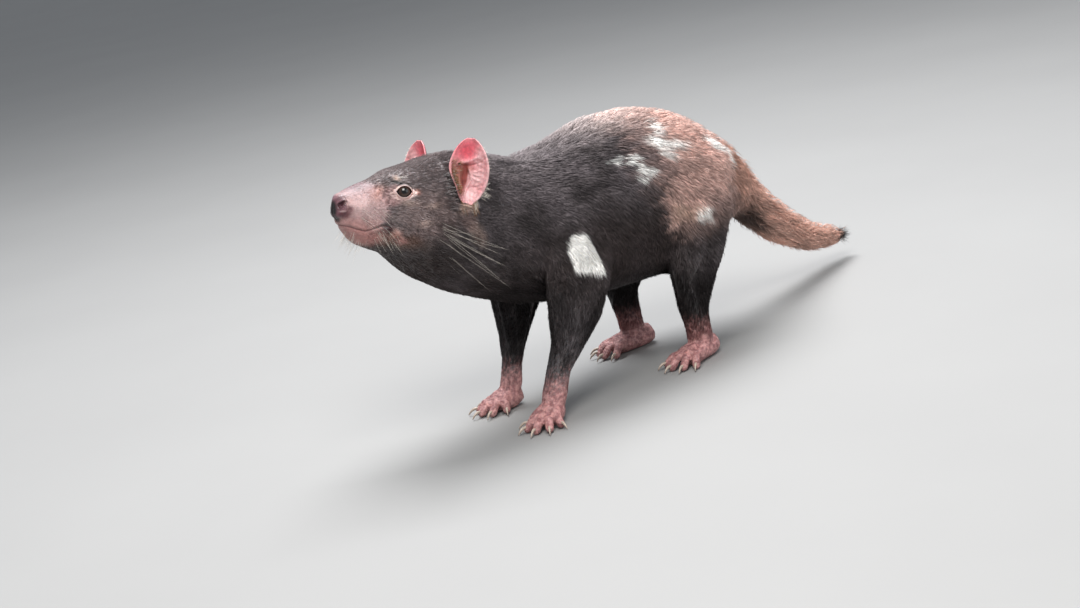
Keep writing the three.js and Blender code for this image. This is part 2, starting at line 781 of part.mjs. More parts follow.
const [behindHead, rawHead] = cutInTwo(body, AHEAD.clone().negate(), onHead(CUTS.head, 0, 0));
const [behindNeck, neck] = cutInTwo(behindHead, pitched(CUTS.neck.pitch, 0), CUTS.neck.point);
const [tail, trunk] = cutInTwo(behindNeck, ...tailCut(CUTS.tail[0]));
const [tailRest, tailBase] = cutInTwo(tail, ...tailCut(CUTS.tail[1]));
const [tailTip, tailMiddle] = cutInTwo(tailRest, ...tailCut(CUTS.tail[2]));

// The head: lids and sockets, mouth, and the seat of the nose.
let head = rawHead;
for (const sign of [-1, 1]) {
  const { centre } = eyeFrame(sign);
  const lids = EYE_RADIUS + LID_THICKNESS;
  const socket = EYE_RADIUS + GAP;
  head = head
    .add(ellipsoid(centre, [lids, lids, lids]))
    .subtract(ellipsoid(centre, [socket, socket, socket]))
    .subtract(almond(sign));
}
const { nose, tool: noseTool } = noseParts();
head = head.subtract(noseTool);
for (const ear of Object.values(EARS)) head = head.subtract(earSolid(ear, true));
const jaw = head.intersect(jawTool(MOUTH_GAP));
head = head.subtract(jawTool(0));

show("head", largest(head), materials.coat);
show("lower_jaw", largest(jaw), materials.bareSkin);
show("nose", largest(nose), materials.nosePad);
show("neck", largest(neck), materials.coat);
show("torso", largest(trunk), materials.coat);
show("tail_base", largest(tailBase), materials.rumpCoat);
show("tail_middle", largest(tailMiddle), materials.rumpCoat);
show("tail_tip", largest(tailTip), materials.rumpCoat);
for (const [name, sign] of [
  ["left", -1],
  ["right", 1],
]) {
  const { centre, matrix } = eyeFrame(sign);
  const turn = new THREE.Quaternion().setFromRotationMatrix(matrix);
  show(`eye_${name}`, ellipsoid(centre, [EYE_RADIUS, EYE_RADIUS, EYE_RADIUS], turn), materials.eye);
  show(`ear_${name}`, earSolid(EARS[name]), materials.bareSkin);
}
for (const paw of PAWS)
  for (const [name, made] of leg(paw, bodyTool)) {
    const material = name.startsWith("claw")
      ? materials.claw
      : name.startsWith("paw")
        ? materials.bareSkin
        : materials.coat;
    show(name, made, material);
  }

export default root;
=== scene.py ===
# The looks of a life-size Tasmanian devil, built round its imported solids.
# Lengths are in millimetres here and turn into metres where a mesh is made. +Z is up, the animal faces -X,
# and its left side is towards -Y.
import math

import bmesh
import bpy
import numpy as np
from mathutils import Matrix, Vector
from mathutils.bvhtree import BVHTree
from mathutils.kdtree import KDTree


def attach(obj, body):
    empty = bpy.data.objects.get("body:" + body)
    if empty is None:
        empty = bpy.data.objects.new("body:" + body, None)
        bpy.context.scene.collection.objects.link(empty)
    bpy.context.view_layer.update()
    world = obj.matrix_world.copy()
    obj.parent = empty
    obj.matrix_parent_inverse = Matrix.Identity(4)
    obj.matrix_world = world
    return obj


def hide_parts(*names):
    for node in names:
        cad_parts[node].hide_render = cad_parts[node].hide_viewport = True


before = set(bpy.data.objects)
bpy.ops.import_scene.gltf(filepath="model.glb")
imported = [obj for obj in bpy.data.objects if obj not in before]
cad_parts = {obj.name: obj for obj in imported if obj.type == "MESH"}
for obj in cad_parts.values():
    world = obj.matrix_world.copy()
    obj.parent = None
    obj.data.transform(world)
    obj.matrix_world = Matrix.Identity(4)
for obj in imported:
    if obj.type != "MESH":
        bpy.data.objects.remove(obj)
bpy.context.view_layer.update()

MM = 0.001
rng = np.random.default_rng(7)
scene = bpy.context.scene

# The camera looks at a point under the chest, from the animal's left and ahead of it.
CAMERA = {"azimuth": -38, "elevation": 14, "roll": 11, "distance": 2060, "lens": 70}
CAMERA_TARGET = np.array([-145.0, 3.0, 100.0])

# The head's own frame, as the solids have it: its base, and how far it is raised and turned.
HEAD_BASE = np.array([-230.0, 3.0, 212.0])
HEAD_PITCH, HEAD_YAW = math.radians(16), math.radians(6)
AHEAD = np.array(
    [
        -math.cos(HEAD_YAW) * math.cos(HEAD_PITCH),
        math.sin(HEAD_YAW) * math.cos(HEAD_PITCH),
        math.sin(HEAD_PITCH),
    ]
)
SIDE = np.array([math.sin(HEAD_YAW), math.cos(HEAD_YAW), 0.0])
ABOVE = np.cross(SIDE, AHEAD)
HEAD_AXES = np.array([AHEAD, SIDE, ABOVE])
TAIL_TURN = math.radians(14)
TAIL_END = np.array([347.0, 50.0, 26.0])

VOXEL = 1.15  # fineness of the skin before it is thinned out
GROW = 0.45  # closes the gaps between the solids
WELD = 0.02  # vertices of a solid that are closer than this become one
FAR = 99.0  # stands for a distance that was not measured
SKIN_SHARE = 0.16  # of its faces that the skin keeps

# Coat of each part: how deep the skin lies under the solids' surface, the length and width of a tuft, and how
# many tufts grow on a square centimetre.
COAT = {
    "head": (1.8, 7.5, 0.5, 120),
    "lower_jaw": (1.3, 6.5, 0.48, 100),
    "neck": (3.6, 14.0, 0.76, 59),
    "torso": (4.6, 18.0, 0.85, 36),
    "tail": (6.2, 23.0, 0.63, 67),
    "upper_leg": (3.2, 13.0, 0.83, 45),
    "lower_leg": (1.7, 8.0, 0.57, 95),
    "paw": (0.2, 3.6, 0.28, 42),
    "nose": (0.15, 1.0, 0.2, 0),
}
MUZZLE_COAT = (0.5, 3.6, 0.22, 110)
FACE_KINDS = ["head", "lower_jaw"]


def smoothstep(x, low, high):
    t = np.clip((np.asarray(x, float) - low) / (high - low), 0, 1)
    return t * t * (3 - 2 * t)


def bump(away, reach):
    return np.exp(-((np.asarray(away) / reach) ** 2))


def length_of(v):
    return np.linalg.norm(v, axis=-1)


def unit(v):
    return v / np.maximum(length_of(v)[..., None], 1e-9)


def in_head(points):
    """Points as distances ahead, to the animal's right and above, from the head's base."""
    return (points - HEAD_BASE) @ HEAD_AXES.T


def on_head(ahead, side, above):
    return HEAD_BASE + ahead * AHEAD + side * SIDE + above * ABOVE


def values_of(items, key, width, kind=np.float32):
    """A property of all the items of a mesh, one row for each."""
    values = np.empty(len(items) * width, kind)
    items.foreach_get(key, values)
    return values.reshape(-1, width)


def points_of(mesh):
    return values_of(mesh.vertices, "co", 3).astype(float) / MM


def set_points(mesh, points):
    mesh.vertices.foreach_set("co", (points * MM).astype(np.float32).ravel())
    mesh.update()


def normals_of(mesh):
    return values_of(mesh.vertex_normals, "vector", 3).astype(float)


def edges_of(mesh):
    return values_of(mesh.edges, "vertices", 2, np.int32)


def smoothed(values, edges, weight, rounds):
    """Values at the vertices, each moved some rounds towards the mean of its neighbours, by its weight."""
    a, b = edges.T
    count = np.maximum(np.bincount(edges.ravel(), minlength=len(values)), 1)
    weight = np.broadcast_to(np.asarray(weight, float), (len(values),))
    columns = []
    for column in values.reshape(len(values), -1).T:
        column = column.copy()
        for _ in range(rounds):
            total = np.bincount(a, column[b], len(values)) + np.bincount(b, column[a], len(values))
            column += weight * (total / count - column)
        columns.append(column)
    return np.stack(columns, 1).reshape(values.shape)


def new_object(name, mesh):
    made = bpy.data.objects.new(name, mesh)
    scene.collection.objects.link(made)
    return made


def applied(made):
    """The object's mesh with its modifiers applied to it."""
    bpy.context.view_layer.update()
    mesh = bpy.data.meshes.new_from_object(made.evaluated_get(bpy.context.evaluated_depsgraph_get()))
    made.modifiers.clear()
    old = made.data
    made.data = mesh
    bpy.data.meshes.remove(old)
    mesh.name = made.name
    return mesh


def shade_smooth(mesh):
    mesh.polygons.foreach_set("use_smooth", np.ones(len(mesh.polygons), bool))
    mesh.update()


def set_attribute(mesh, name, values):
    kind, key = ("FLOAT_VECTOR", "vector") if np.ndim(values) == 2 else ("FLOAT", "value")
    attribute = mesh.attributes.new(name, kind, "POINT")
    attribute.data.foreach_set(key, np.ascontiguousarray(values, np.float32).ravel())


def welded(name, grow=0.0):
    """Points and faces of a CAD node, its vertices merged and moved out by some millimetres."""
    bm = bmesh.new()
    bm.from_mesh(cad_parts[name].data)
    bmesh.ops.remove_doubles(bm, verts=bm.verts, dist=WELD * MM)
    bm.normal_update()
    points = np.array([v.co / MM + v.normal * grow for v in bm.verts])
    faces = [[v.index for v in f.verts] for f in bm.faces]
    bm.free()
    return points, faces


def joined(names, grow):
    points, faces, owners = [], [], []
    start = 0
    for name in names:
        some, around = welded(name, grow)
        points.append(some)
        faces += [[start + i for i in face] for face in around]
        owners += [name] * len(around)
        start += len(some)
    return np.concatenate(points), faces, owners


def object_from(name, points, faces):
    mesh = bpy.data.meshes.new(name)
    mesh.from_pydata((points * MM).tolist(), [], faces)
    return new_object(name, mesh)


def remeshed(name, points, faces, voxel):
    made = object_from(name, points, faces)
    change = made.modifiers.new("remesh", "REMESH")
    change.mode = "VOXEL"
    change.voxel_size = voxel * MM
    applied(made)
    return made


# The line between the lips, seen from the side.
MOUTH_AHEAD = [73, 78, 83, 89, 95, 103, 110, 116, 126]
MOUTH_ABOVE = [-15, -10.5, -7.2, -6.8, -9.2, -12, -10.4, -8.2, -7]
EYE_RADIUS = 7.6
EYE_SEAT = (67, 24.5, 24.3)
EYE_FACING = (0.4, 0.88, 0.22)
LIDS = {"half": 6.9, "upper": 4.6, "lower": 5.0, "thick": 1.1, "middle": -0.4}
WART = (73.6, 22.5, 38.1)
# Front and rear end of a nostril: ahead, to the side and above.
NOSTRIL = np.array([[124.6, 8.6, 10.4], [121.0, 12.6, 14.6]])


def muzzle_bareness(head):
    """1 on the bare skin round the muzzle, 0 on the coat behind it."""
    ahead, side, above = head.T
    away = np.sqrt(((ahead - 112) / 31) ** 2 + (side / 60) ** 2 + ((above - 6) / 31) ** 2)
    return 1 - smoothstep(away, 0.9, 1.06)


def nose_rear(above):
    """How far ahead the pad of the nose begins."""
    return 119.4 + 0.018 * (above - 9) ** 2


def nose_mask(head):
    """1 on the dark pad of the nose, and 0 on the muzzle."""
    ahead, side, above = head.T
    low = -2.6 + 0.33 * np.abs(side)
    mask = smoothstep(ahead - nose_rear(above), -0.5, 0.7) * smoothstep(above - low, -0.8, 0.8)
    return mask * (1 - smoothstep(above, 18.2, 20.2))


def from_nostril(head):
    """Distance from the slit of the nearer nostril, a little more at its rear end."""
    at = np.stack([head[:, 0], np.abs(head[:, 1]), head[:, 2]], 1)
    run = NOSTRIL[1] - NOSTRIL[0]
    share = np.clip((at - NOSTRIL[0]) @ run / (run @ run), 0, 1)
    return length_of(at - NOSTRIL[0] - share[:, None] * run) + 0.9 * share


def eye_axes(sign):
    """The eye's centre, and its long, high and outward axes."""
    centre = on_head(EYE_SEAT[0], sign * EYE_SEAT[1], EYE_SEAT[2])
    out = unit(EYE_FACING[0] * AHEAD + sign * EYE_FACING[1] * SIDE + EYE_FACING[2] * ABOVE)
    high = unit(ABOVE - (ABOVE @ out) * out)
    long = np.cross(high, out) * -sign
    return centre, np.array([long, high, out])


def lid_edges(along):
    """Heights of the upper and lower lid's edge over a share of the opening from -1 to 1."""
    arch = np.clip(1 - np.abs(along) ** 2.2, 0, 1) ** 0.8
    middle = LIDS["middle"] + 0.3 * along
    return middle + LIDS["upper"] * arch, middle - LIDS["lower"] * arch


def from_lid(long, high):
    """Distance from the edge of the opening between the lids, below 0 inside it."""
    upper, lower = lid_edges(np.clip(long / LIDS["half"], -1, 1))
    across = np.maximum(high - upper, lower - high)
    beyond = np.abs(long) - LIDS["half"]
    return np.where(beyond > 0, np.hypot(beyond, high - LIDS["middle"]), across)


def shape_eye(points, sign):
    """Opens the lids over the eyeball, and returns the points, their distance from the lids' edge and how far
    each lies in the pale ring round the eye."""
    centre, axes = eye_axes(sign)
    local = (points - centre) @ axes.T
    near = (length_of(local) < 17) & (local[:, 2] > 0.5)
    long, high, out = local[near].T
    away = from_lid(long, high)
    ball = np.sqrt(np.maximum(EYE_RADIUS**2 - long**2 - high**2, 0))
    reach = np.hypot(long, high)
    lid = np.sqrt(np.maximum((EYE_RADIUS + LIDS["thick"]) ** 2 - reach**2, 0))
    onto_lid = 1 - smoothstep(away, 1.2, 6.5)
    surface = np.where(reach < EYE_RADIUS + 0.4, lid, out)
    out = out + onto_lid * np.clip(surface - out, -4, 4) * (reach < EYE_RADIUS + 0.6)
    out -= 0.55 * bump(away - 3.4, 0.9) * (high > 0) + 0.4 * bump(away - 3.2, 0.9) * (high < 0)
    out += 0.45 * bump(away - 1.5, 1.1)
    opened = 1 - smoothstep(away, -0.7, 0.35)
    out = out * (1 - opened) + (ball - 1.6) * opened
    moved = points.copy()
    moved[near] = centre + np.stack([long, high, out], 1) @ axes
    distance = np.full(len(points), FAR)
    distance[near] = away
    wide = (
        1.3
        + 2.3 * smoothstep(-high, -3, 2.5)
        + 3.0 * smoothstep(-long, 3, 7.5)
        + 1.8 * smoothstep(long, 4, 7.5)
    )
    ring = np.zeros(len(points))
    ring[near] = 1 - smoothstep(away, wide - 1.4, wide + 0.6)
    return moved, distance, ring


def mouth_depth(head):
    """0 behind the corner of the mouth and 1 ahead of it, and the height above the line between the lips."""
    ahead, _, above = head.T
    return smoothstep(ahead, 75, 80), above - np.interp(ahead, MOUTH_AHEAD, MOUTH_ABOVE)


# Bulges of the face: ahead, to the side and above, reach and height.
BULGES = [
    (*WART, 2.2, 1.0),
    (74.5, 31, -13.5, 3.6, 1.5),
    (78.5, 28, -17, 2.6, 1.0),
    (71, 31, -20.5, 3.6, 1.0),
    (80.5, 26.5, -11.5, 2.2, -0.9),
    (60, 36.5, 24.5, 2.2, 0.5),
    (104, 19, 4, 12, 1.0),
    (78, 24, 33, 5, 1.1),
    (110, 12, -17, 6, 0.8),
    (101, 17, -16, 4, 0.6),
    (93.5, 13, 29, 2.3, 0.4),
    (90.5, 18, 24.2, 2.0, 0.45),
    (88.6, 20.5, 19.4, 1.8, 0.4),
    (86.2, 22.2, 15.9, 1.9, 0.35),
    (91.5, 15.5, 26.4, 1.2, -0.6),
    (89.6, 19.4, 21.8, 1.1, -0.6),
    (122.6, 12.4, 6.2, 1.5, 0.25),
    (122.0, 12.4, 2.4, 1.8, -0.5),
    (117.2, 15.6, 6.9, 1.8, -0.5),
    (47, 46, 14, 4.5, 0.6),
    (55, 45.5, -3, 5.5, 0.7),
]


def face_relief(points):
    """How far the face's folds, lips and bulges stand out, in millimetres."""
    head = in_head(points)
    ahead, side, above = head.T
    off = np.abs(side)
    fade, over = mouth_depth(head)
    relief = fade * (-0.7 * bump(over, 0.8) + 0.6 * bump(over - 2.4, 1.7) + 0.5 * bump(over + 2.8, 1.7))
    front = smoothstep(ahead, 114, 119)
    relief -= 0.9 * front * bump(side, 0.9) * smoothstep(over, -0.5, 1.0) * (1 - smoothstep(above, 11, 14))
    for a, s, h, reach, height in BULGES:
        distance = np.sqrt((ahead - a) ** 2 + (off - s) ** 2 + (above - h) ** 2)
        relief += height * bump(distance, reach)
    pad = nose_mask(head)
    rim = ahead - nose_rear(above) + 0.5
    relief += 0.3 * pad - 0.45 * bump(rim, 0.9) * smoothstep(above, -1, 2) * (1 - smoothstep(above, 18, 21))
    slit = from_nostril(head)
    return relief + 0.3 * bump(slit - 3.6, 1.0) - 4.6 * (1 - smoothstep(slit, 0.9, 3.3))


def paw_relief(points, normals):
    """Creases across the toes and tendons on the backs of the paws."""
    relief = np.zeros(len(points))
    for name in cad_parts:
        if not name.startswith("paw_"):
            continue
        corners = welded(name)[0]
        low, high = corners.min(0), corners.max(0)
        middle = np.array([high[0] - 0.3 * (high[0] - low[0]), (low[1] + high[1]) / 2])
        away = points[:, :2] - middle
        reach = np.hypot(*away.T)
        turn = np.arctan2(away[:, 1], -away[:, 0])
        near = (reach < 60) * (points[:, 2] < high[2] + 6) * (np.sign(points[:, 1]) == np.sign(middle[1]))
        near = near * ((points[:, 0] > -80) == (middle[0] > -80))
        toes = smoothstep(reach, 16, 24)
        crease = np.sin(reach * 2.5 + 1.2 * np.sin(points[:, 1] * 0.9))
        ridge = np.cos(turn * 9) * smoothstep(reach, 6, 12) * (1 - smoothstep(reach, 24, 32))
        knuckle = bump(reach - 27, 2.6) + 0.7 * bump(reach - 37, 2.2)
        relief += near * (0.26 * crease * toes + 0.45 * ridge + 0.65 * knuckle)
    return relief * smoothstep(normals[:, 2], -0.05, 0.45) * smoothstep(points[:, 2], 2, 5)


def thin_out(made, weights, ratio):
    """Thins the mesh out, most where the weight is 1 and not at all where it is 0."""
    group = made.vertex_groups.new(name="thin")
    levels = np.round(weights * 10).astype(int)
    for level in range(1, 11):
        chosen = np.nonzero(levels == level)[0]
        if len(chosen):
            group.add([int(i) for i in chosen], level / 10, "REPLACE")
    change = made.modifiers.new("thin", "DECIMATE")
    change.ratio = ratio
    change.vertex_group = "thin"
    change.vertex_group_factor = 1.0
    applied(made)
    made.vertex_groups.clear()


def refine(made, chosen):
    """Splits every edge between chosen vertices."""
    bm = bmesh.new()
    bm.from_mesh(made.data)
    bm.verts.ensure_lookup_table()
    picked = chosen(points_of(made.data))
    edges = [e for e in bm.edges if picked[e.verts[0].index] and picked[e.verts[1].index]]
    bmesh.ops.subdivide_edges(bm, edges=edges, cuts=1, use_grid_fill=True)
    bm.to_mesh(made.data)
    bm.free()
    made.data.update()


def looseness(points):
    """0 where the skin has to stay fine, and 1 where it may be coarse."""
    face = smoothstep(in_head(points)[:, 0], 15, 45)
    paw = 1 - smoothstep(points[:, 2], 26, 44)
    return 1 - np.maximum(face, paw)


def build_skin():
    points, faces, _ = joined(flesh_nodes + ["eye_left", "eye_right"], GROW)
    made = remeshed("skin", points, faces, VOXEL)
    mesh = made.data
    points = points_of(mesh)
    head = in_head(points)
    fine = np.minimum(
        1 - 0.87 * smoothstep(head[:, 0], -30, 30),
        np.where(points[:, 0] < 120, 0.07 + 0.93 * smoothstep(points[:, 2], 30, 125), 1),
    )
    points = smoothed(points, edges_of(mesh), 0.6 * fine, 80)
    filled = 1 - smoothstep(from_nostril(in_head(points)), 4.5, 8)
    points = smoothed(points, edges_of(mesh), 0.6 * filled, 90)
    set_points(mesh, points)
    thin_out(made, looseness(points), SKIN_SHARE)
    refine(made, lambda p: in_head(p)[:, 0] > 56)
    refine(made, close_to_features)
    shade_smooth(made.data)
    return made


def close_to_features(points):
    head = in_head(points)
    fade, over = mouth_depth(head)
    chosen = (fade > 0.2) & (np.abs(over) < 3.2) | (from_nostril(head) < 5.5)
    for sign in (-1, 1):
        centre, axes = eye_axes(sign)
        local = (points - centre) @ axes.T
        chosen |= (np.hypot(local[:, 0], local[:, 1]) < 10.5) & (local[:, 2] > 0)
    return chosen


def owners_of(points):
    """The part that each point of the skin belongs to: the name of the nearest CAD node, without its side."""
    corners, faces, owners = joined(flesh_nodes, 0)
    tree = BVHTree.FromPolygons(corners.tolist(), faces)
    kinds = sorted(COAT, key=len, reverse=True)
    kind_of = {n: next(k for k in kinds if n.startswith(k)) for n in flesh_nodes}
    return np.array([kind_of[owners[tree.find_nearest(p)[2]]] for p in points.tolist()])


def lie_of(points, kinds):
    """Which way the hair lies at each point, before it is laid on to the skin."""
    head = in_head(points)
    off = np.clip(np.abs(points[:, 1]) / 60, 0, 1)
    lie = np.tile([1.0, 0.0, 0.0], (len(points), 1))
    trunk = (kinds == "torso") | (kinds == "neck")
    lie[trunk, 2] = -0.35 * off[trunk]
    rump = trunk & (points[:, 0] > 40)
    lie[rump] = [1, 0.1, -0.75]
    on_face = np.isin(kinds, FACE_KINDS)
    droop = 0.3 * smoothstep(np.abs(head[:, 1]), 15, 45)
    lie[on_face] = (-AHEAD - droop[:, None] * ABOVE + 0.25 * np.sign(head[:, 1])[:, None] * SIDE)[on_face]
    lie[kinds == "tail"] = [math.cos(TAIL_TURN), math.sin(TAIL_TURN), -0.35]
    lie[kinds == "upper_leg"] = [0.45, 0, -1]
    lie[kinds == "lower_leg"] = [0.15, 0, -1]
    lie[kinds == "paw"] = [-1, 0, -0.5]
    return unit(lie)


def coat_fields(mesh):
    """Depth, length, width, closeness and lie of the coat at each vertex of the skin."""
    points = points_of(mesh)
    kinds = owners_of(points)
    head = in_head(points)
    fields = np.array([COAT[k] for k in kinds], float)
    bare = muzzle_bareness(head)
    on_face = np.isin(kinds, FACE_KINDS)
    short = smoothstep(head[:, 0], 20, 85) * on_face
    fields[:, 0] *= 1 - 0.5 * short
    fields[:, 1] *= 1 - 0.45 * short
    fields[:, 2] *= 1 - 0.2 * short
    fields[:, 0] *= 1 + 0.15 * (kinds == "tail") * smoothstep(points[:, 0], 170, 330)
    fringe = (kinds == "tail") * smoothstep(normals_of(mesh)[:, 2], 0.2, 0.9)
    fields[:, 1] *= 1 + 0.35 * fringe
    edges = edges_of(mesh)
    fields = smoothed(fields, edges, 0.6, 24)
    bare = bare[:, None] * on_face[:, None]
    fields = fields * (1 - bare) + np.array(MUZZLE_COAT) * bare
    fields[:, 3] *= (1 - nose_mask(head)) * (1 - 0.7 * bare[:, 0] * smoothstep(head[:, 0], 98, 116))
    lie = smoothed(lie_of(points, kinds), edges, 0.6, 40)
    return kinds, fields, lie


def dress_skin(made):
    """Pulls the skin in by the coat's depth and shapes the face on it."""
    mesh = made.data
    kinds, fields, lie = coat_fields(mesh)
    points, normals = points_of(mesh), normals_of(mesh)
    edges = edges_of(mesh)
    soft = unit(smoothed(normals, edges, 0.6, 4))
    points = points - soft * fields[:, :1]
    set_points(mesh, points)
    relief = face_relief(points) + paw_relief(points, soft)
    points = points + unit(smoothed(normals_of(mesh), edges, 0.6, 6)) * relief[:, None]
    lid = np.full(len(points), FAR)
    ring = np.zeros(len(points))
    for sign in (-1, 1):
        points, away, pale = shape_eye(points, sign)
        lid = np.minimum(lid, away)
        ring = np.maximum(ring, pale)
    points[:, 2] = np.maximum(points[:, 2], 0)
    set_points(mesh, points)
    head = in_head(points)
    fade, over = mouth_depth(head)
    set_attribute(mesh, "pad", nose_mask(head))
    set_attribute(mesh, "nostril", from_nostril(head))
    set_attribute(mesh, "lid", lid)
    set_attribute(mesh, "ring", ring)
    set_attribute(mesh, "lips", fade * bump(over, 1.0))
    return kinds, fields, lie, lid


def plant(mesh, fields, lie):
    """Roots of the tufts, spread over a mesh as closely as the coat asks, and for each the way out, the coat's
    fields, its lie and the nearest vertex."""
    mesh.calc_loop_triangles()
    corners = values_of(mesh.loop_triangles, "vertices", 3, np.int32)
    points = points_of(mesh)
    a, b, c = (points[corners[:, i]] for i in range(3))
    area = 0.5 * length_of(np.cross(b - a, c - a)) / 100  # in square centimetres
    wanted = area * fields[corners, 3].mean(1)
    order = rng.permutation(len(wanted))
    total = np.cumsum(wanted[order])
    count = int(total[-1])
    steps = (np.arange(count) + rng.random(count)) * total[-1] / count * 0.999999
    chosen = order[np.searchsorted(total, steps)]
    first, second = rng.random(count), rng.random(count)
    flip = first + second > 1
    first[flip], second[flip] = 1 - first[flip], 1 - second[flip]
    shares = np.stack([1 - first - second, first, second], 1)
    at = corners[chosen]

    def mix(values):
        return np.einsum("nk,nkd->nd", shares, values[at])

    return mix(points), unit(mix(normals_of(mesh))), mix(fields), mix(lie), at[:, 0]


EARS = {
    "left": {"sign": -1, "ahead": 14, "side": 50.5, "above": 14.5, "turn": 50},
    "right": {"sign": 1, "ahead": 13, "side": 48, "above": 9, "turn": -5},
}
EAR_HEIGHT = 62
EAR_VOXEL = 0.55
EAR_FLARE = 76  # degrees by which an ear's foot faces outward
FRONT_PULL = 0.3  # how far an ear's front edge is drawn back near the bottom
# Half of an ear's width in millimetres at shares of its height.
EAR_HALF = np.array(
    [(0, 5), (0.08, 9.5), (0.2, 14), (0.35, 17.3), (0.5, 18.5)]
    + [(0.65, 17.8), (0.8, 14.5), (0.9, 10.5), (1, 3.2)]
)


def ear_axes(ear, share):
    """The ways to the rear edge and out of the cup, at a share of the ear's height."""
    turn = np.radians(EAR_FLARE + (ear["turn"] - EAR_FLARE) * smoothstep(share, 0.05, 0.6))[..., None]
    facing = np.cos(turn) * AHEAD + ear["sign"] * np.sin(turn) * SIDE
    return np.cross(ABOVE, facing) * -ear["sign"], facing


def ear_root(ear):
    return on_head(ear["ahead"], ear["sign"] * ear["side"], ear["above"])


def in_ear(points, ear):
    """Share of the ear's height, distance towards its rear edge, distance out of its cup, and that way out."""
    away = points - ear_root(ear)
    share = away @ ABOVE / EAR_HEIGHT
    across, facing = ear_axes(ear, share)
    return share, (away * across).sum(1), (away * facing).sum(1), facing


def front_share(share):
    """How much of its width an ear keeps ahead of its middle, at a share of its height."""
    return 1 - FRONT_PULL * (1 - smoothstep(share, 0.22, 0.6))


def in_ear_pocket(points):
    inside = np.zeros(len(points), bool)
    for ear in EARS.values():
        share, across, out, _ = in_ear(points, ear)
        half = np.interp(share, *EAR_HALF.T)
        within = (across > 4 - half * front_share(share)) & (across < half - 2)
        inside |= (share > -0.04) & (share < 1.1) & within & (out > -13) & (out < 3)
    return inside


def blades(roots, up, looks, way, tree, shaggy=0.0):
    """Middle and tip of each tuft, laid along the skin, its width, and the way it lies."""
    count = len(roots)
    depth, length, width, _ = looks.T
    length = length * rng.uniform(0.72, 1.25, count)
    width = width * rng.uniform(0.75, 1.3, count)
    way = unit(way - (way * up).sum(1, keepdims=True) * up)
    across = np.cross(up, way)
    swirl = 0.14 * np.sin(roots @ np.array([0.11, 0.17, 0.13]))
    swirl += 0.08 * np.sin(roots @ np.array([-0.31, 0.23, 0.29]))
    turn = 0.7 * swirl + rng.normal(0, 0.06, count)
    way = np.cos(turn)[:, None] * way + np.sin(turn)[:, None] * across
    lift = rng.uniform(0.3, 1.0, count)
    loose = rng.random(count) < LOOSE_SHARE + 0.2 * shaggy
    lift[loose] = (rng.uniform(1.1, 1.6, count) + 0.7 * shaggy)[loose]
    middle = roots + way * (length * 0.5)[:, None]
    tip = roots + way * length[:, None]
    for places, height in ((middle, depth * lift * 0.8), (tip, depth * lift)):
        for i, (place, high, most) in enumerate(zip(places.tolist(), height, length * FREE_SHARE)):
            found, normal, _, distance = tree.find_nearest(place)
            if found is not None:
                free = max(0.0, distance - most) / max(distance, 1e-6)
                places[i] = found + (Vector(place) - found) * free + normal * (high * (1 - free))
    return middle, tip, width, way


def clumped(roots, middle, tip, way, hold):
    """Draws the tufts together in narrow locks where they hold, and returns a shade from 0 to 1 that each lock
    shares."""
    flow = roots - way * ((roots * way).sum(1, keepdims=True) * LOCK_STRETCH)
    centres = rng.permutation(len(roots))[: max(1, len(roots) // 10)]
    tree = KDTree(len(centres))
    for i, place in enumerate(flow[centres].tolist()):
        tree.insert(place, i)
    tree.balance()
    lock = np.array([tree.find(place)[1] for place in flow.tolist()])
    nearest = centres[lock]
    near = (hold * bump(length_of(roots - roots[nearest]), 6))[:, None]
    middle = middle + 0.1 * near * (middle[nearest] - middle)
    tip = tip + 0.24 * near * (tip[nearest] - tip)
    shade = 0.35 * rng.random(len(roots)) + 0.65 * rng.random(len(centres))[lock]
    return middle, tip, shade


def turn_of(across, up):
    """The angle round an axis, as a share of a full turn."""
    return np.arctan2(across, up) / (2 * math.pi) + 0.5


def unwrap(roots, kinds):
    """A place from 0 to 1 twice for each root, on an unwrap of the skin's own shape round its axes."""
    around = turn_of(roots[:, 1], roots[:, 2] - 170)
    along = (roots[:, 0] + 260) / 620
    head = in_head(roots)
    on_face = np.isin(kinds, FACE_KINDS)
    around = np.where(on_face, turn_of(head[:, 1], head[:, 2]), around)
    along = np.where(on_face, (head[:, 0] + 20) / 160, along)
    tail = kinds == "tail"
    along_tail = roots[:, 0] - 130
    middle_y = -2 + along_tail * math.tan(TAIL_TURN)
    middle_z = 118 - 0.42 * along_tail
    around = np.where(tail, turn_of(roots[:, 1] - middle_y, roots[:, 2] - middle_z), around)
    along = np.where(tail, along_tail / 240, along)
    leg = np.isin(kinds, ["upper_leg", "lower_leg", "paw"])
    hind = roots[:, 0] > -60
    right = roots[:, 1] > 0
    axis_x = np.where(hind, 25, -150)
    axis_y = np.where(right, 48, -48)
    turn = turn_of(roots[:, 1] - axis_y, roots[:, 0] - axis_x)
    around = np.where(leg, (turn + 2 * right + hind) / 4 * 0.98, around)
    along = np.where(leg, roots[:, 2] / 215, along)
    return np.clip(np.stack([along, around], 1), *UNWRAP_EDGES)


PATCH = 0.003  # side of each tuft's patch on the unwrap
UNWRAP_EDGES = (0.004, 0.994)
LOOSE_SHARE = 0.04  # of the tufts, which stand up out of the coat
FREE_SHARE = 0.42  # of its length that a tuft may be drawn down on to the skin
LOCK_STRETCH = 0.6  # how much longer than wide the locks are
COLOURED_AT = 0.55  # share of a tuft's length at whose place it takes its colour


def blade_faces(rings):
    """Corners of a closed three-sided blade: a cap at the root, its sides ring by ring, and its tip."""
    faces = [[0, 2, 1]]
    for ring in range(0, 3 * (rings - 1), 3):
        faces += [[ring + a, ring + b, ring + b + 3, ring + a + 3] for a, b in ((0, 1), (1, 2), (2, 0))]
    last = 3 * (rings - 1)
    return faces + [[last + a, last + b, last + 3] for a, b in ((0, 1), (1, 2), (2, 0))]


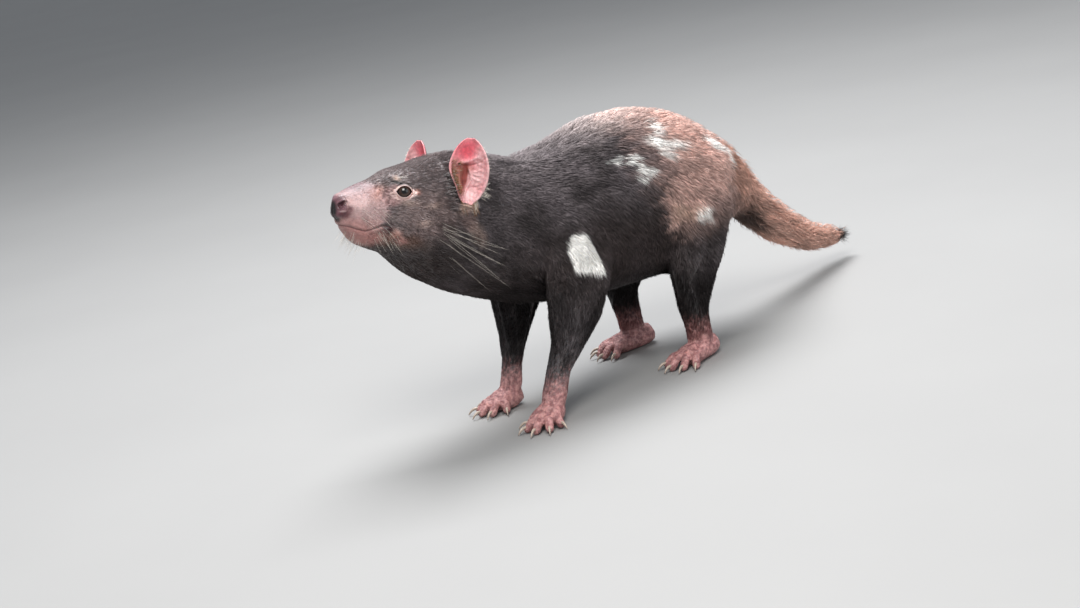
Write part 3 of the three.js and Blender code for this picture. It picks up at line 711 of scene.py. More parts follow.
def blade_mesh(name, centres, tips, widths, up, places, shade, flat=0.55):
    """One mesh of closed blades through rings of centres, each ring with its width, that end in a point."""
    rings, count = centres.shape[:2]
    along = unit(tips - centres[0])
    across = unit(np.cross(up, along))
    over = unit(np.cross(along, across))
    corners = np.empty((count, 3 * rings + 1, 3))
    for ring in range(rings):
        half = widths[ring][:, None] / 2
        corners[:, 3 * ring] = centres[ring] - across * half
        corners[:, 3 * ring + 1] = centres[ring] + across * half
        corners[:, 3 * ring + 2] = centres[ring] + over * half * flat * 2
    corners[:, -1] = tips
    faces = blade_faces(rings)
    loops = np.array([i for face in faces for i in face])
    sizes = np.array([len(face) for face in faces])
    starts = np.concatenate([[0], np.cumsum(sizes)[:-1]])
    every = np.arange(count)[:, None]
    size = corners.shape[1]
    mesh = bpy.data.meshes.new(name)
    mesh.vertices.add(count * size)
    mesh.vertices.foreach_set("co", (corners * MM).astype(np.float32).ravel())
    mesh.loops.add(count * len(loops))
    mesh.loops.foreach_set("vertex_index", (loops + every * size).astype(np.int32).ravel())
    mesh.polygons.add(count * len(sizes))
    mesh.polygons.foreach_set("loop_start", (starts + every * len(loops)).astype(np.int32).ravel())
    mesh.update(calc_edges=True)
    shade_smooth(mesh)
    along_blade = np.append(np.repeat(np.arange(rings) / rings, 3), 1.0)
    coloured_at = centres[0] + (tips - centres[0]) * COLOURED_AT
    set_attribute(mesh, "place", np.repeat(coloured_at * MM, size, axis=0))
    set_attribute(mesh, "shade", np.repeat(shade, size))
    set_attribute(mesh, "muzzle", np.repeat(muzzle_bareness(in_head(coloured_at)), size))
    set_attribute(mesh, "along", np.tile(along_blade, count))
    patch = np.stack([along_blade, np.append(np.tile([0, 1, 0.5], rings), 0.5)], 1) * PATCH
    spread = places[:, None, :] + patch[None, loops, :]
    layer = mesh.uv_layers.new(name="OFBake")
    layer.uv.foreach_set("vector", spread.astype(np.float32).ravel())
    return new_object(name, mesh)


# Pieces of the coat: the parts they cover, and whether their tufts bend in the middle.
COAT_PIECES = {
    "coat_head": (FACE_KINDS, False),
    "coat_neck": (["neck"], True),
    "coat_torso": (["torso"], True),
    "coat_tail": (["tail"], True),
    "coat_thighs": (["upper_leg"], True),
    "coat_shins": (["lower_leg", "paw"], False),
}
MOST_TRIANGLES = 190000  # in one piece
TUFT_TRIANGLES = {True: 10, False: 4}  # of a tuft that bends, and of a straight one
ROOTED = 0.35  # how deep a tuft starts under the skin


def skin_tree(skin):
    mesh = skin.data
    return BVHTree.FromPolygons(points_of(mesh).tolist(), [tuple(p.vertices) for p in mesh.polygons])


def on_coat(roots, near_lid):
    """Where tufts may grow: not on the lids, between the lips, under the soles or inside the ears."""
    fade, over = mouth_depth(in_head(roots))
    keep = (near_lid > 3.0) & ~((fade > 0.3) & (np.abs(over) < 1.1)) & (roots[:, 2] > 1.5)
    return keep & ~in_ear_pocket(roots)


def build_coat(skin, kinds, fields, lie, lid, tree):
    roots, up, looks, way, at = plant(skin.data, fields, lie)
    keep = on_coat(roots, lid[at])
    roots, up, looks, way, kinds = roots[keep], up[keep], looks[keep], way[keep], kinds[at[keep]]
    shaggy = (kinds == "tail") * smoothstep(up[:, 2], -0.1, 0.7)
    shaggy += 0.5 * np.isin(kinds, ["torso", "neck"]) * smoothstep(up[:, 2], 0.5, 0.9)
    slim = (kinds == "tail") * smoothstep(roots[:, 0], 170, 330)
    looks[:, 0] *= 1 - 0.4 * slim
    on_face = np.isin(kinds, FACE_KINDS)
    middle, tip, width, way = blades(roots, up, looks, way, tree, shaggy - 0.15 * on_face)
    middle, tip, shade = clumped(roots, middle, tip, way, 1 - 0.75 * on_face)
    contrast = 0.4 + 0.12 * muzzle_bareness(in_head(roots)) - 0.14 * on_face
    shade = 1 + contrast * (2 * shade - 1)
    pieces = []
    for name, (parts, bent) in COAT_PIECES.items():
        chosen = np.nonzero(np.isin(kinds, parts))[0]
        chosen = chosen[np.argsort(roots[chosen, 0], kind="stable")]
        shares = math.ceil(len(chosen) * TUFT_TRIANGLES[bent] / MOST_TRIANGLES)
        for number, some in enumerate(np.array_split(chosen, shares), 1):
            base = roots[some] - up[some] * ROOTED
            centres = np.stack([base, middle[some]] if bent else [base])
            widths = np.stack([width[some], width[some] * 0.85] if bent else [width[some]])
            places = unwrap(roots[some], kinds[some])
            made = blade_mesh(f"{name}_{number}", centres, tip[some], widths, up[some], places, shade[some])
            pieces.append(made)
    return pieces


def build_ear_coat(side, ear, made, tree):
    """Short dark hair on the back of an ear, thinner towards its edge."""
    mesh = made.data
    points, normals = points_of(mesh), normals_of(mesh)
    share, _, _, facing = in_ear(points, ear)
    back = smoothstep(-(normals * facing).sum(1), -0.1, 0.4)
    high = smoothstep(share, -0.1, 0.0) * (1 - 0.75 * smoothstep(share, 0.35, 1.0))
    even = np.ones(len(points))
    length = 5.5 - 2.5 * np.clip(share, 0, 1)
    fields = np.stack([0.8 * even, length, 0.34 * even, 260 * back * high], 1)
    lie = np.tile(ABOVE - 0.25 * AHEAD, (len(points), 1))
    roots, up, looks, way, _ = plant(mesh, fields, lie)
    _, tip, width, _ = blades(roots, up, looks, way, tree)
    share, across, _, _ = in_ear(roots, ear)
    places = np.clip(np.stack([share * 0.9 + 0.05, 0.5 + across / 60], 1), *UNWRAP_EDGES)
    shade = rng.uniform(0.7, 1.3, len(roots))
    return blade_mesh(f"coat_ear_{side}", (roots - up * 0.3)[None], tip, width[None], up, places, shade)


def strands(name, roots, ways, lengths, widths, bend, steps):
    """Long single hairs that bend one way as they go."""
    roots, ways, bend = np.asarray(roots, float), unit(np.asarray(ways, float)), np.asarray(bend, float)
    lengths, widths = np.asarray(lengths, float)[:, None], np.asarray(widths, float)
    shares = np.arange(steps) / steps

    def at(share):
        return roots + ways * lengths * share + bend * lengths * share**2

    centres = np.stack([at(t) for t in shares])
    thick = np.stack([widths * (1 - 0.75 * t) for t in shares])
    up = np.cross(ways, unit(np.cross(np.tile([0.0, 0, 1], (len(roots), 1)), ways)))
    head = np.full(len(roots), "head")
    shade = rng.uniform(0.75, 1.2, len(roots))
    return blade_mesh(name, centres, at(1.0), thick, up, unwrap(roots, head), shade, flat=0.85)


def onto(tree, places, inside=0.4):
    """The nearest places on the skin, a little below its surface, and the directions out of it."""
    found = [tree.find_nearest(Vector(p))[:2] for p in np.asarray(places, float).tolist()]
    outward = np.array([list(n) for _, n in found])
    return np.array([list(p) for p, _ in found]) - outward * inside, outward


def hairs(name, rows, tree, steps):
    """Strands from rows of place, way, length, width and bend, each rooted where the surface is nearest."""
    places, ways, lengths, widths, bends = (np.array(column) for column in zip(*rows))
    return strands(name, onto(tree, places)[0], ways, lengths, widths, bends, steps)


def head_way(ahead, side, above):
    return ahead * AHEAD + side * SIDE + above * ABOVE


# Long hairs of the face on one side. Each group: middle of the roots (ahead, outward, above), how many, how far
# they spread, direction, shortest and longest length, width, and bend.
WHISKERS = {
    "lip": [(97, 22, 1), 22, (13, 3, 9), (-0.65, 0.6, -0.5), (9, 24), 0.19, (-0.35, -0.2, -0.3)],
    "long": [(79, 28, 0), 12, (6, 3, 4), (-0.78, 0.4, -0.46), (30, 80), 0.32, (-0.25, -0.12, -0.12)],
    "cheek": [(57, 46, -6), 26, (15, 3, 8), (-0.8, 0.28, -0.48), (34, 86), 0.31, (-0.2, -0.1, 0.0)],
    "brow": [WART, 3, (2, 1.5, 1.5), (-0.5, 0.6, 0.4), (7, 13), 0.2, (-0.4, -0.1, -0.25)],
    "chin": [(106, 8, -20), 26, (13, 9, 4), (0.4, 0.2, -0.85), (6, 15), 0.21, (0.1, 0, -0.2)],
    "corner": [(84, 24, -15), 22, (11, 3, 6), (-0.3, 0.4, -0.85), (7, 15), 0.25, (-0.25, 0, -0.25)],
}


def build_whiskers(tree):
    rows = {"pale": [], "dark": []}
    for name, (centre, count, spread, way, length, width, bend) in WHISKERS.items():
        for sign in (-1, 1):
            for k in range(count):
                shift = (rng.random(3) * 2 - 1) * np.array(spread)
                place = on_head(centre[0] + shift[0], sign * (centre[1] + shift[1]), centre[2] + shift[2])
                turn = np.array(way) + rng.normal(0, 0.09, 3)
                tone = "dark" if name in ("long", "cheek", "lip") and k % 3 == 0 else "pale"
                long = rng.uniform(*length)
                curve = head_way(bend[0], sign * bend[1], bend[2] + rng.normal(0, 0.11))
                rows[tone].append((place, head_way(turn[0], sign * turn[1], turn[2]), long, width, curve))
    return [hairs("whiskers_" + tone, found, tree, steps=8) for tone, found in rows.items()]


def build_brush(tree):
    """Dark longer hairs at the end of the tail."""
    along = np.array([math.cos(TAIL_TURN), math.sin(TAIL_TURN), -0.05])
    count = 220
    ahead = rng.uniform(0, 15, count)[:, None]
    places = TAIL_END - along * ahead + rng.uniform(-1, 1, (count, 3)) * [0, 10, 9]
    ways = along + rng.normal(0, 0.2, (count, 3))
    roots, outward = onto(tree, places)
    ways = unit(ways + 0.25 * outward)
    lengths, widths = rng.uniform(9, 20, count), np.full(count, 0.42)
    return strands("tail_brush", roots, ways, lengths, widths, np.tile(-0.12 * ABOVE, (count, 1)), steps=4)


def build_eye(side, sign):
    """A ball with a slight swelling over the iris, its mesh laid out round the way it looks."""
    centre, axes = eye_axes(sign)
    bm = bmesh.new()
    bmesh.ops.create_uvsphere(bm, u_segments=56, v_segments=40, radius=EYE_RADIUS)
    local = np.array([v.co for v in bm.verts])
    angle = np.arccos(np.clip(local[:, 2] / EYE_RADIUS, -1, 1))
    local = local * (1 + 0.05 * bump(angle, 0.75))[:, None]
    for vertex, place in zip(bm.verts, (centre + local @ axes) * MM):
        vertex.co = place
    bmesh.ops.recalc_face_normals(bm, faces=bm.faces)
    mesh = bpy.data.meshes.new(f"eyeball_{side}")
    bm.to_mesh(mesh)
    bm.free()
    shade_smooth(mesh)
    set_attribute(mesh, "angle", angle)
    return new_object(mesh.name, mesh)


# Folds inside an ear: a line of places (millimetres towards the rear edge, share of its height), reach, height.
EAR_FOLDS = [
    ([(-10.5, 0.6), (-7, 0.635), (-2, 0.65), (3, 0.685), (8, 0.72)], 1.8, 1.6),
    ([(2.5, 0.6), (7.5, 0.63), (12, 0.66), (15, 0.72)], 1.0, -1.0),
    ([(-9, 0.585), (-4, 0.575), (1, 0.59)], 1.6, -1.1),
    ([(-1, 0.53), (1.5, 0.46), (2.6, 0.38), (0.8, 0.28), (-1.5, 0.18), (-2, 0.08)], 1.3, 1.7),
    ([(-4.2, 0.54), (-3.6, 0.42), (-3.4, 0.3), (-4.2, 0.2)], 1.7, -1.5),
    ([(-9, 0.5), (-9.5, 0.38), (-8, 0.24)], 1.5, 1.0),
    ([(4, 0.27), (8.5, 0.27), (13, 0.3)], 0.9, -0.9),
    ([(3.5, 0.5), (7, 0.5), (11, 0.53)], 0.9, 0.7),
    ([(3.5, 0.46), (8, 0.44), (12, 0.45)], 0.9, 0.7),
    ([(3, 0.42), (7, 0.38), (11, 0.37)], 0.9, 0.7),
]
# Hollows and swellings inside an ear: place, reach each way in millimetres, height.
EAR_FORMS = [
    ((-3, 0.8), (8, 7), -1.0),
    ((-6, 0.38), (5, 10), -1.2),
    ((10, 0.36), (5, 7), 1.2),
    ((6, 0.14), (6, 5), 1.2),
    ((10, 0.8), (4, 6), 0.6),
]
EAR_DEPTH = 1.6  # how far a hollow may go into the ear, which is thin


def from_line(places, line):
    """Distance of places in a plane from a line through some points."""
    nearest = np.full(len(places), np.inf)
    for start, end in zip(line[:-1], line[1:]):
        run = end - start
        share = np.clip((places - start) @ run / (run @ run), 0, 1)
        nearest = np.minimum(nearest, length_of(places - start - share[:, None] * run))
    return nearest


def build_ear(side, ear):
    points, faces = welded("ear_" + side)
    made = remeshed(f"ear_{side}_skin", points, faces, EAR_VOXEL)
    mesh = made.data
    edges = edges_of(mesh)
    points = smoothed(points_of(mesh), edges, 0.5, 10)
    set_points(mesh, points)
    share, across, _, facing = in_ear(points, ear)
    normals = unit(smoothed(normals_of(mesh), edges, 0.5, 6))
    inner = smoothstep((normals * facing).sum(1), -0.05, 0.3)
    edge = np.abs(across) / np.interp(share, *EAR_HALF.T)
    pulled = np.where(across < 0, across * (1 - front_share(share)), 0)
    rear_way, _ = ear_axes(ear, share)
    points = points - rear_way * pulled[:, None]
    scale = np.array([1, EAR_HEIGHT])
    places = np.stack([across, share * EAR_HEIGHT], 1)
    relief = np.zeros(len(points))
    for line, reach, height in EAR_FOLDS:
        relief += height * bump(from_line(places, np.array(line) * scale), reach)
    for at, reach, height in EAR_FORMS:
        relief += height * bump(length_of((places - np.array(at) * scale) / reach), 1)
    ripple = np.sin(places[:, 1] * 1.25 + across * 0.5) * smoothstep(across, 0, 8) + 0.6 * np.sin(across * 1.7)
    relief += 0.16 * ripple * (1 - smoothstep(share, 0.85, 1))
    relief = np.maximum(relief, -EAR_DEPTH) * inner * (1 - smoothstep(edge, 0.78, 0.97))
    rim = inner * bump(edge - 0.93, 0.06) * smoothstep(share, 0.15, 0.4)
    set_points(mesh, points + normals * (relief + 0.25 * rim)[:, None])
    set_attribute(mesh, "inner", inner)
    set_attribute(mesh, "fold", relief)
    set_attribute(mesh, "ear", np.stack([across, places[:, 1], 0 * across], 1) * MM)
    set_attribute(mesh, "edge", edge)
    shade_smooth(mesh)
    return made


# Hairs round an ear: tone, place (share of its height, towards the rear), how many, spread, direction (out of
# the cup, to the rear, up), shortest and longest length, width. The dark ones root on the head ahead of the ear.
EAR_HAIRS = [
    ("dark", (0.2, -19), 150, (0.32, 5), (0.3, 0.8, 0.4), (6, 13), 0.5),
    ("brown", (0.4, -12), 230, (0.25, 4.5), (0.5, 0.6, 0.45), (3.5, 8.5), 0.38),
    ("pale", (0.42, -11), 60, (0.16, 4), (0.6, 0.6, 0.35), (3, 6.5), 0.36),
    ("brown", (0.32, -6), 60, (0.2, 3), (0.3, 0.5, 0.75), (3, 6), 0.28),
    ("pale", (0.2, 15), 34, (0.1, 2.5), (0.25, 1.0, -0.15), (4, 10), 0.24),
    ("pale", (0.02, 2), 60, (0.05, 9), (0.45, 0.1, -0.75), (5, 12), 0.3),
    ("brown", (0.02, 0), 150, (0.06, 10), (0.35, 0.3, -0.85), (5, 13), 0.4),
    ("pale", (0.55, 17.5), 60, (0.42, 2), (0.2, 1.0, 0.35), (1.6, 3.6), 0.2),
]


def build_ear_hairs(side, ear, ear_tree, head_tree):
    """Hairs on the ear, and the dark ones that grow on the head ahead of it and lie over its edge."""
    pieces = []
    for tone, tree in (("brown", ear_tree), ("pale", ear_tree), ("dark", head_tree)):
        rows = []
        for kind, (share, rear), count, spread, turn, length, width in EAR_HAIRS:
            if kind != tone:
                continue
            for _ in range(count):
                at = share + spread[0] * rng.uniform(-1, 1)
                across, facing = ear_axes(ear, at)
                behind = rear + spread[1] * rng.uniform(-1, 1)
                place = ear_root(ear) + at * EAR_HEIGHT * ABOVE + behind * across
                out, back, up = np.array(turn) + rng.normal(0, 0.16, 3)
                way = out * facing + back * across + up * ABOVE
                rows.append((place, way, rng.uniform(*length), width, -0.25 * ABOVE))
        pieces.append(hairs(f"ear_{side}_hairs_{tone}", rows, tree, steps=4))
    return pieces


def build_claws(paw):
    """The claws of one paw, from their solids, rounded."""
    names = [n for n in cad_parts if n.startswith(f"claw_{paw}_")]
    points, faces, _ = joined(names, 0)
    made = object_from(f"claws_{paw}", points, faces)
    change = made.modifiers.new("round", "SUBSURF")
    change.levels = change.render_levels = 1
    shade_smooth(applied(made))
    return made, names


# Shader nodes


class Tree:
    """A node tree that is filled by short calls."""

    def __init__(self, tree):
        self.tree = tree
        self.nodes = tree.nodes

    def add(self, kind, inputs=(), **settings):
        node = self.nodes.new(kind)
        for key, value in settings.items():
            setattr(node, key, value)
        for key, value in dict(inputs).items():
            self.set(node.inputs[key], value)
        return node

    def set(self, socket, value):
        if isinstance(value, bpy.types.NodeSocket):
            self.tree.links.new(value, socket)
        else:
            socket.default_value = value

    def math(self, operation, a, b=0.0):
        return self.add("ShaderNodeMath", {0: a, 1: b}, operation=operation).outputs[0]

    def vector(self, operation, a, b):
        return self.add("ShaderNodeVectorMath", {0: a, 1: b}, operation=operation).outputs[0]

    def scaled(self, vector, factor):
        return self.add("ShaderNodeVectorMath", {0: vector, "Scale": factor}, operation="SCALE").outputs[0]

    def part(self, vector, number):
        return self.add("ShaderNodeSeparateXYZ", {0: vector}).outputs[number]

    def object_place(self):
        return self.add("ShaderNodeTexCoord").outputs["Object"]

    def mix(self, factor, *colours):
        """A mix of two colours, each a name, three numbers or a socket."""
        inputs = {"Factor": factor}
        for number, colour in zip((6, 7), colours):
            colour = COLOURS[colour] if isinstance(colour, str) else colour
            inputs[number] = colour + (1,) if isinstance(colour, tuple) else colour
        return self.add("ShaderNodeMix", inputs, data_type="RGBA").outputs[2]

    def steps(self, value, low, high, to_low=0.0, to_high=1.0):
        ends = {"Value": value, "From Min": low, "From Max": high, "To Min": to_low, "To Max": to_high}
        return self.add("ShaderNodeMapRange", ends, interpolation_type="SMOOTHSTEP").outputs[0]

    def noise(self, place, scale, detail=2.0, roughness=0.5, output="Fac"):
        inputs = {"Vector": place, "Scale": scale, "Detail": detail, "Roughness": roughness}
        return self.add("ShaderNodeTexNoise", inputs).outputs[output]

    def cells(self, place, scale, **settings):
        return self.add("ShaderNodeTexVoronoi", {"Vector": place, "Scale": scale}, **settings).outputs[0]

    def drawn_out(self, place, factor):
        """The place squeezed along the body, so that noise makes streaks there."""
        return self.add("ShaderNodeMapping", {"Vector": place, "Scale": (factor, 1.0, 1.0)}).outputs[0]

    def warped(self, place, scale, amount):
        """The place, pushed about by noise."""
        centred = self.vector("SUBTRACT", self.noise(place, scale, output="Color"), (0.5, 0.5, 0.5))
        return self.vector("ADD", place, self.scaled(centred, amount))

    def blob(self, place, centre, radii, tilt=0.0, soft=0.25, strength=1.0):
        """A soft-edged ellipsoid round a centre, tilted in side view: 1 inside and 0 outside."""
        centre, radii = ([v * MM for v in values] for values in (centre, radii))
        inputs = {"Vector": place, "Location": centre, "Rotation": (0, math.radians(tilt), 0), "Scale": radii}
        mapped = self.add("ShaderNodeMapping", inputs, vector_type="TEXTURE").outputs[0]
        length = self.add("ShaderNodeVectorMath", {0: mapped}, operation="LENGTH").outputs["Value"]
        return self.steps(length, 1 + soft, 1 - soft, 0.0, strength)

    def outline(self, place, corners, soft):
        """1 inside a convex outline seen from the animal's left, its corners in order, in millimetres."""
        inside = 1.0
        for (x0, z0), (x1, z1) in zip(corners, corners[1:] + corners[:1]):
            inward = unit(np.array([z1 - z0, 0, x0 - x1]))
            node = self.add("ShaderNodeVectorMath", {0: place, 1: inward.tolist()}, operation="DOT_PRODUCT")
            start = inward @ (x0, 0, z0)
            edge = self.steps(node.outputs["Value"], (start - soft) * MM, (start + soft) * MM)
            inside = self.math("MULTIPLY", edge, inside)
        return inside

    def lay(self, marks, where, colour):
        """Lays marks over a colour, one after the other."""
        for name, centre, radii, tilt, soft, strength in marks:
            colour = self.mix(self.blob(where, centre, radii, tilt, soft, strength), colour, name)
        return colour

    def read(self, name, output="Fac"):
        return self.add("ShaderNodeAttribute", attribute_name=name).outputs[output]

    def bumped(self, height, strength, distance):
        inputs = {"Strength": strength, "Distance": distance, "Height": height}
        return self.add("ShaderNodeBump", inputs).outputs[0]

    def shade(self, **values):
        """Sets the inputs of the material's shader."""
        shader = next(n for n in self.nodes if n.type == "BSDF_PRINCIPLED")
        for key, value in values.items():
            self.set(shader.inputs[key.replace("_", " ")], value)


COLOURS = {
    "black": (0.012, 0.009, 0.009),
    "umber": (0.042, 0.029, 0.026),
    "dark": (0.070, 0.059, 0.060),
    "flank": (0.155, 0.132, 0.138),
    # back: a lighter tan coat with a painted highlight from the light above laid into it
    "back": (0.800, 0.660, 0.620),
    "rump": (0.700, 0.465, 0.405),
    "rust": (0.420, 0.215, 0.150),
    "tail": (0.740, 0.450, 0.360),
    "tan": (0.570, 0.399, 0.323),
    "white": (0.965, 0.949, 0.918),
    "pink": (0.351, 0.215, 0.209),
    "pale_pink": (0.437, 0.308, 0.300),
    # A grey mauve: on the muzzle's top its own colour with a painted reflection of the sky, on the nose pad's
    # top a painted sky reflection.
    "mauve_sky_sheen": (0.165, 0.106, 0.114),
    "salmon": (0.410, 0.197, 0.156),
    "lid": (0.577, 0.414, 0.385),
    "lip": (0.430, 0.205, 0.185),
    "jaw": (0.140, 0.093, 0.076),
    "maroon": (0.080, 0.022, 0.028),
    "cheek": (0.210, 0.150, 0.142),
    "crown": (0.115, 0.087, 0.086),
    "nape": (0.230, 0.198, 0.203),
    "paw": (0.530, 0.272, 0.256),
    "toe": (0.240, 0.098, 0.098),
    "ear_pink": (0.656, 0.295, 0.307),
    "ear_pale": (0.756, 0.487, 0.487),
    "ear_red": (0.638, 0.071, 0.109),
    "ear_brown": (0.260, 0.080, 0.050),
    # Painted shade for an ear's grooves.
    "ear_groove_shade": (0.120, 0.024, 0.012),
    "rust_dark": (0.130, 0.070, 0.052),
}
# Marks that are the same on both sides: colour, centre, radii, tilt, softness and strength.
BODY_MARKS = [
    ("umber", (-90, 0, 140), (170, 95, 44), 0, 0.5, 0.8),
    # Pale band along the top of the back: a lighter tan coat with a painted highlight from the light above.
    ("back", (-2, 0, 298), (158, 70, 50), 3, 0.5, 0.95),
    ("nape", (-110, 0, 266), (85, 58, 34), -16, 0.6, 0.75),
    ("nape", (-190, 0, 262), (50, 40, 22), 10, 0.7, 0.5),
    ("black", (-190, 0, 100), (75, 90, 42), 0, 0.4, 0.75),
    ("black", (-130, 0, 62), (60, 90, 50), 0, 0.3, 0.85),
    ("black", (-60, 0, 70), (120, 55, 42), 0, 0.4, 0.6),
    ("rump", (94, 0, 208), (122, 112, 76), 0, 0.4, 1.0),
    ("rump", (10, 66, 164), (30, 26, 28), 20, 0.6, 0.85),
    ("rust", (128, 0, 160), (40, 80, 40), 20, 0.5, 0.8),
    ("tail", (250, 30, 70), (150, 80, 85), 25, 0.2, 1.0),
    # Painted shadow under the root of the tail.
    ("black", (146, 0, 101), (40, 60, 21), 38, 0.7, 0.9),
    ("umber", (245, 20, 18), (85, 60, 17), 24, 0.7, 0.6),
    ("black", (353, 55, 27), (18, 30, 24), 0, 0.5, 0.95),
    ("black", (18, 0, 38), (80, 95, 88), 0, 0.22, 0.97),
]
SHOULDER_PATCH = [(-145, 172), (-130, 170), (-120, 147), (-114, 123), (-151, 136), (-153, 158)]
WHITE_MARKS = [
    ("white", (-61, -55, 224), (6.5, 16, 4), 5, 0.3, 0.85),
    ("white", (-42, -58, 218), (6.5, 16, 6), 30, 0.25, 0.95),
    ("white", (-33, -61, 208), (6.5, 16, 7), -10, 0.3, 0.9),
    ("white", (-28, -64, 203), (6.5, 14, 4.5), 15, 0.3, 0.95),
    ("white", (-41, -65, 198), (7, 14, 4), 15, 0.3, 0.9),
    ("white", (9, -42, 240), (8, 14, 9), -30, 0.5, 0.95),
    ("white", (-3, -53, 227), (15, 14, 7.5), 25, 0.5, 1.0),
    ("white", (19, -55, 219), (17, 14, 5.5), 20, 0.5, 0.9),
    ("white", (5, -58, 213), (11, 12, 5), 20, 0.5, 0.8),
    ("white", (87, -41, 201), (19, 12, 6.5), 32, 0.35, 0.95),
    ("white", (104, -40, 185), (7, 12, 13), 25, 0.4, 0.9),
    ("tan", (4, -70, 153), (18, 14, 10), 20, 0.5, 0.8),
    ("white", (25, -72, 144), (9, 14, 8), 0, 0.6, 0.85),
    ("white", (-116, 66, 148), (15, 24, 15), 10, 0.15, 1.0),
    ("white", (30, 58, 214), (17, 14, 6), 25, 0.35, 0.85),
    ("white", (-176, 26, 116), (8, 20, 7), 0, 0.25, 0.9),
]
# Marks on the head, the same on both sides, in the head's own frame.
FACE_MARKS = [
    ("crown", (60, 0, 54), (72, 62, 42), 0, 0.5, 0.9),
    ("cheek", (50, 44, 4), (34, 26, 24), 15, 0.5, 0.8),
    ("tan", (55, 46, -3), (6, 9, 3), 10, 0.9, 0.22),
    ("tan", (46.5, 47, 13.5), (6, 8, 2.4), 10, 0.9, 0.3),
    ("tan", (14, 53, 12), (9, 12, 6), 30, 0.5, 0.85),
    ("cheek", (12, 56, 0), (8, 14, 11), 30, 0.35, 1),
    ("tan", (2, 56, -12), (7, 14, 12), 35, 0.6, 0.35),
    ("umber", (50, 0, -40), (60, 60, 26), 10, 0.5, 0.8),
    ("jaw", (70, 24, -27), (20, 40, 8), 10, 0.6, 0.7),
    ("pink", (112, 0, 6), (31, 60, 32), 0, 0.22, 1.0),
    ("pink", (77, 27, 21), (11, 12, 8), 30, 0.45, 0.85),
    ("pale_pink", (99, 22, 9), (14, 14, 12), 0, 0.7, 0.6),
    # The muzzle's top: its own greyish mauve with a painted reflection of the sky in it.
    ("mauve_sky_sheen", (106, 0, 32), (22, 19, 12.5), 12, 0.6, 1.0),
    ("salmon", (90, 18, 22), (5, 7, 9), -35, 0.9, 0.6),
    ("crown", (84, 0, 39), (15, 21, 9), 14, 0.45, 0.95),
    ("pink", (81, 25, 20), (10, 12, 7.5), 30, 0.5, 0.9),
    ("tan", (66, 34, 14.5), (9, 8, 2.4), -10, 0.9, 0.25),
    ("tan", WART, (2.6, 4.2, 3.4), 0, 0.7, 0.8),
    # Painted shadow under the wart, along the fold of the brow.
    ("black", (75, 24, 33.6), (7, 7, 1.7), -25, 0.4, 0.95),
    ("salmon", (59, 37, 25), (3.6, 5, 3), 0, 0.5, 0.6),
    ("jaw", (88, 18, -22), (20, 18, 11), 0, 0.6, 0.9),
    ("lip", (106, 0, -17), (25, 40, 10), 0, 0.5, 0.95),
    ("lip", (110, 0, -5), (17, 30, 4.5), 0, 0.9, 0.6),
    ("dark", (90, 20, -34), (40, 40, 8), 5, 0.5, 0.9),
    ("rust_dark", (64, 36, -20), (9, 14, 6), 20, 0.7, 0.7),
    ("maroon", (82, 26, -9), (5, 7, 3.2), 30, 0.7, 0.6),
    ("dark", (85, 25, -6.5), (6, 8, 2.6), 0, 0.6, 0.8),
    ("salmon", (75, 31, -14), (4.5, 8, 4.5), 0, 0.8, 0.55),
    ("salmon", (79.5, 28, -16.5), (2.6, 5, 3.5), 0, 0.8, 0.45),
    ("lip", (72, 31, -20), (6, 8, 3.5), 0, 0.7, 0.5),
]
# Marks of the bare nose, on the skin alone. Some are painted light: shade on the pad's front, a sky reflection
# on its top and a wet highlight under each nostril.
NOSE_MARKS = [
    ("maroon", (121, 12, 2.5), (4.5, 7, 3.6), 0, 0.5, 0.9),
    ("maroon", (117.6, 15.3, 7), (3, 4, 3.6), 0, 0.6, 0.8),
    # Painted shade on the front face of the nose pad, which is turned from the light.
    ("black", (130, 0, 6), (5.5, 9.5, 11), 0, 0.25, 1.0),
    ("black", (124, 0, -3), (4, 7, 4), 0, 0.4, 0.9),
    # Painted reflection of the sky on the top of the nose pad.
    ("mauve_sky_sheen", (121.5, 8, 18.5), (5, 8, 3), 10, 0.5, 0.7),
    # Painted wet highlight on the lower rim of the nostril.
    ("pale_pink", (122.6, 11.8, 5.4), (2.6, 4.0, 0.9), 10, 0.8, 0.6),
]
# Marks inside an ear: colour, place towards the rear and up, radii, softness and strength.
EAR_MARKS = [
    ("ear_red", (-4, 49), (9, 8), 1.0, 0.95),
    ("ear_red", (1, 56), (9, 5), 1.0, 0.6),
    ("ear_pale", (9, 45), (4, 9), 0.9, 0.5),
    ("ear_red", (-1, 34.5), (10, 2.6), 0.9, 0.5),
    ("ear_pale", (8, 27), (8, 9), 0.8, 0.7),
    ("ear_pale", (4, 8), (8, 7), 0.8, 0.7),
    ("ear_brown", (-10, 24), (7, 15), 0.5, 0.85),
    ("ear_brown", (-6, 34), (8, 3.5), 0.6, 0.8),
    # Painted shade along the groove beside the ear's middle ridge.
    ("ear_groove_shade", (-4, 25), (2.6, 12), 0.6, 1.0),
]


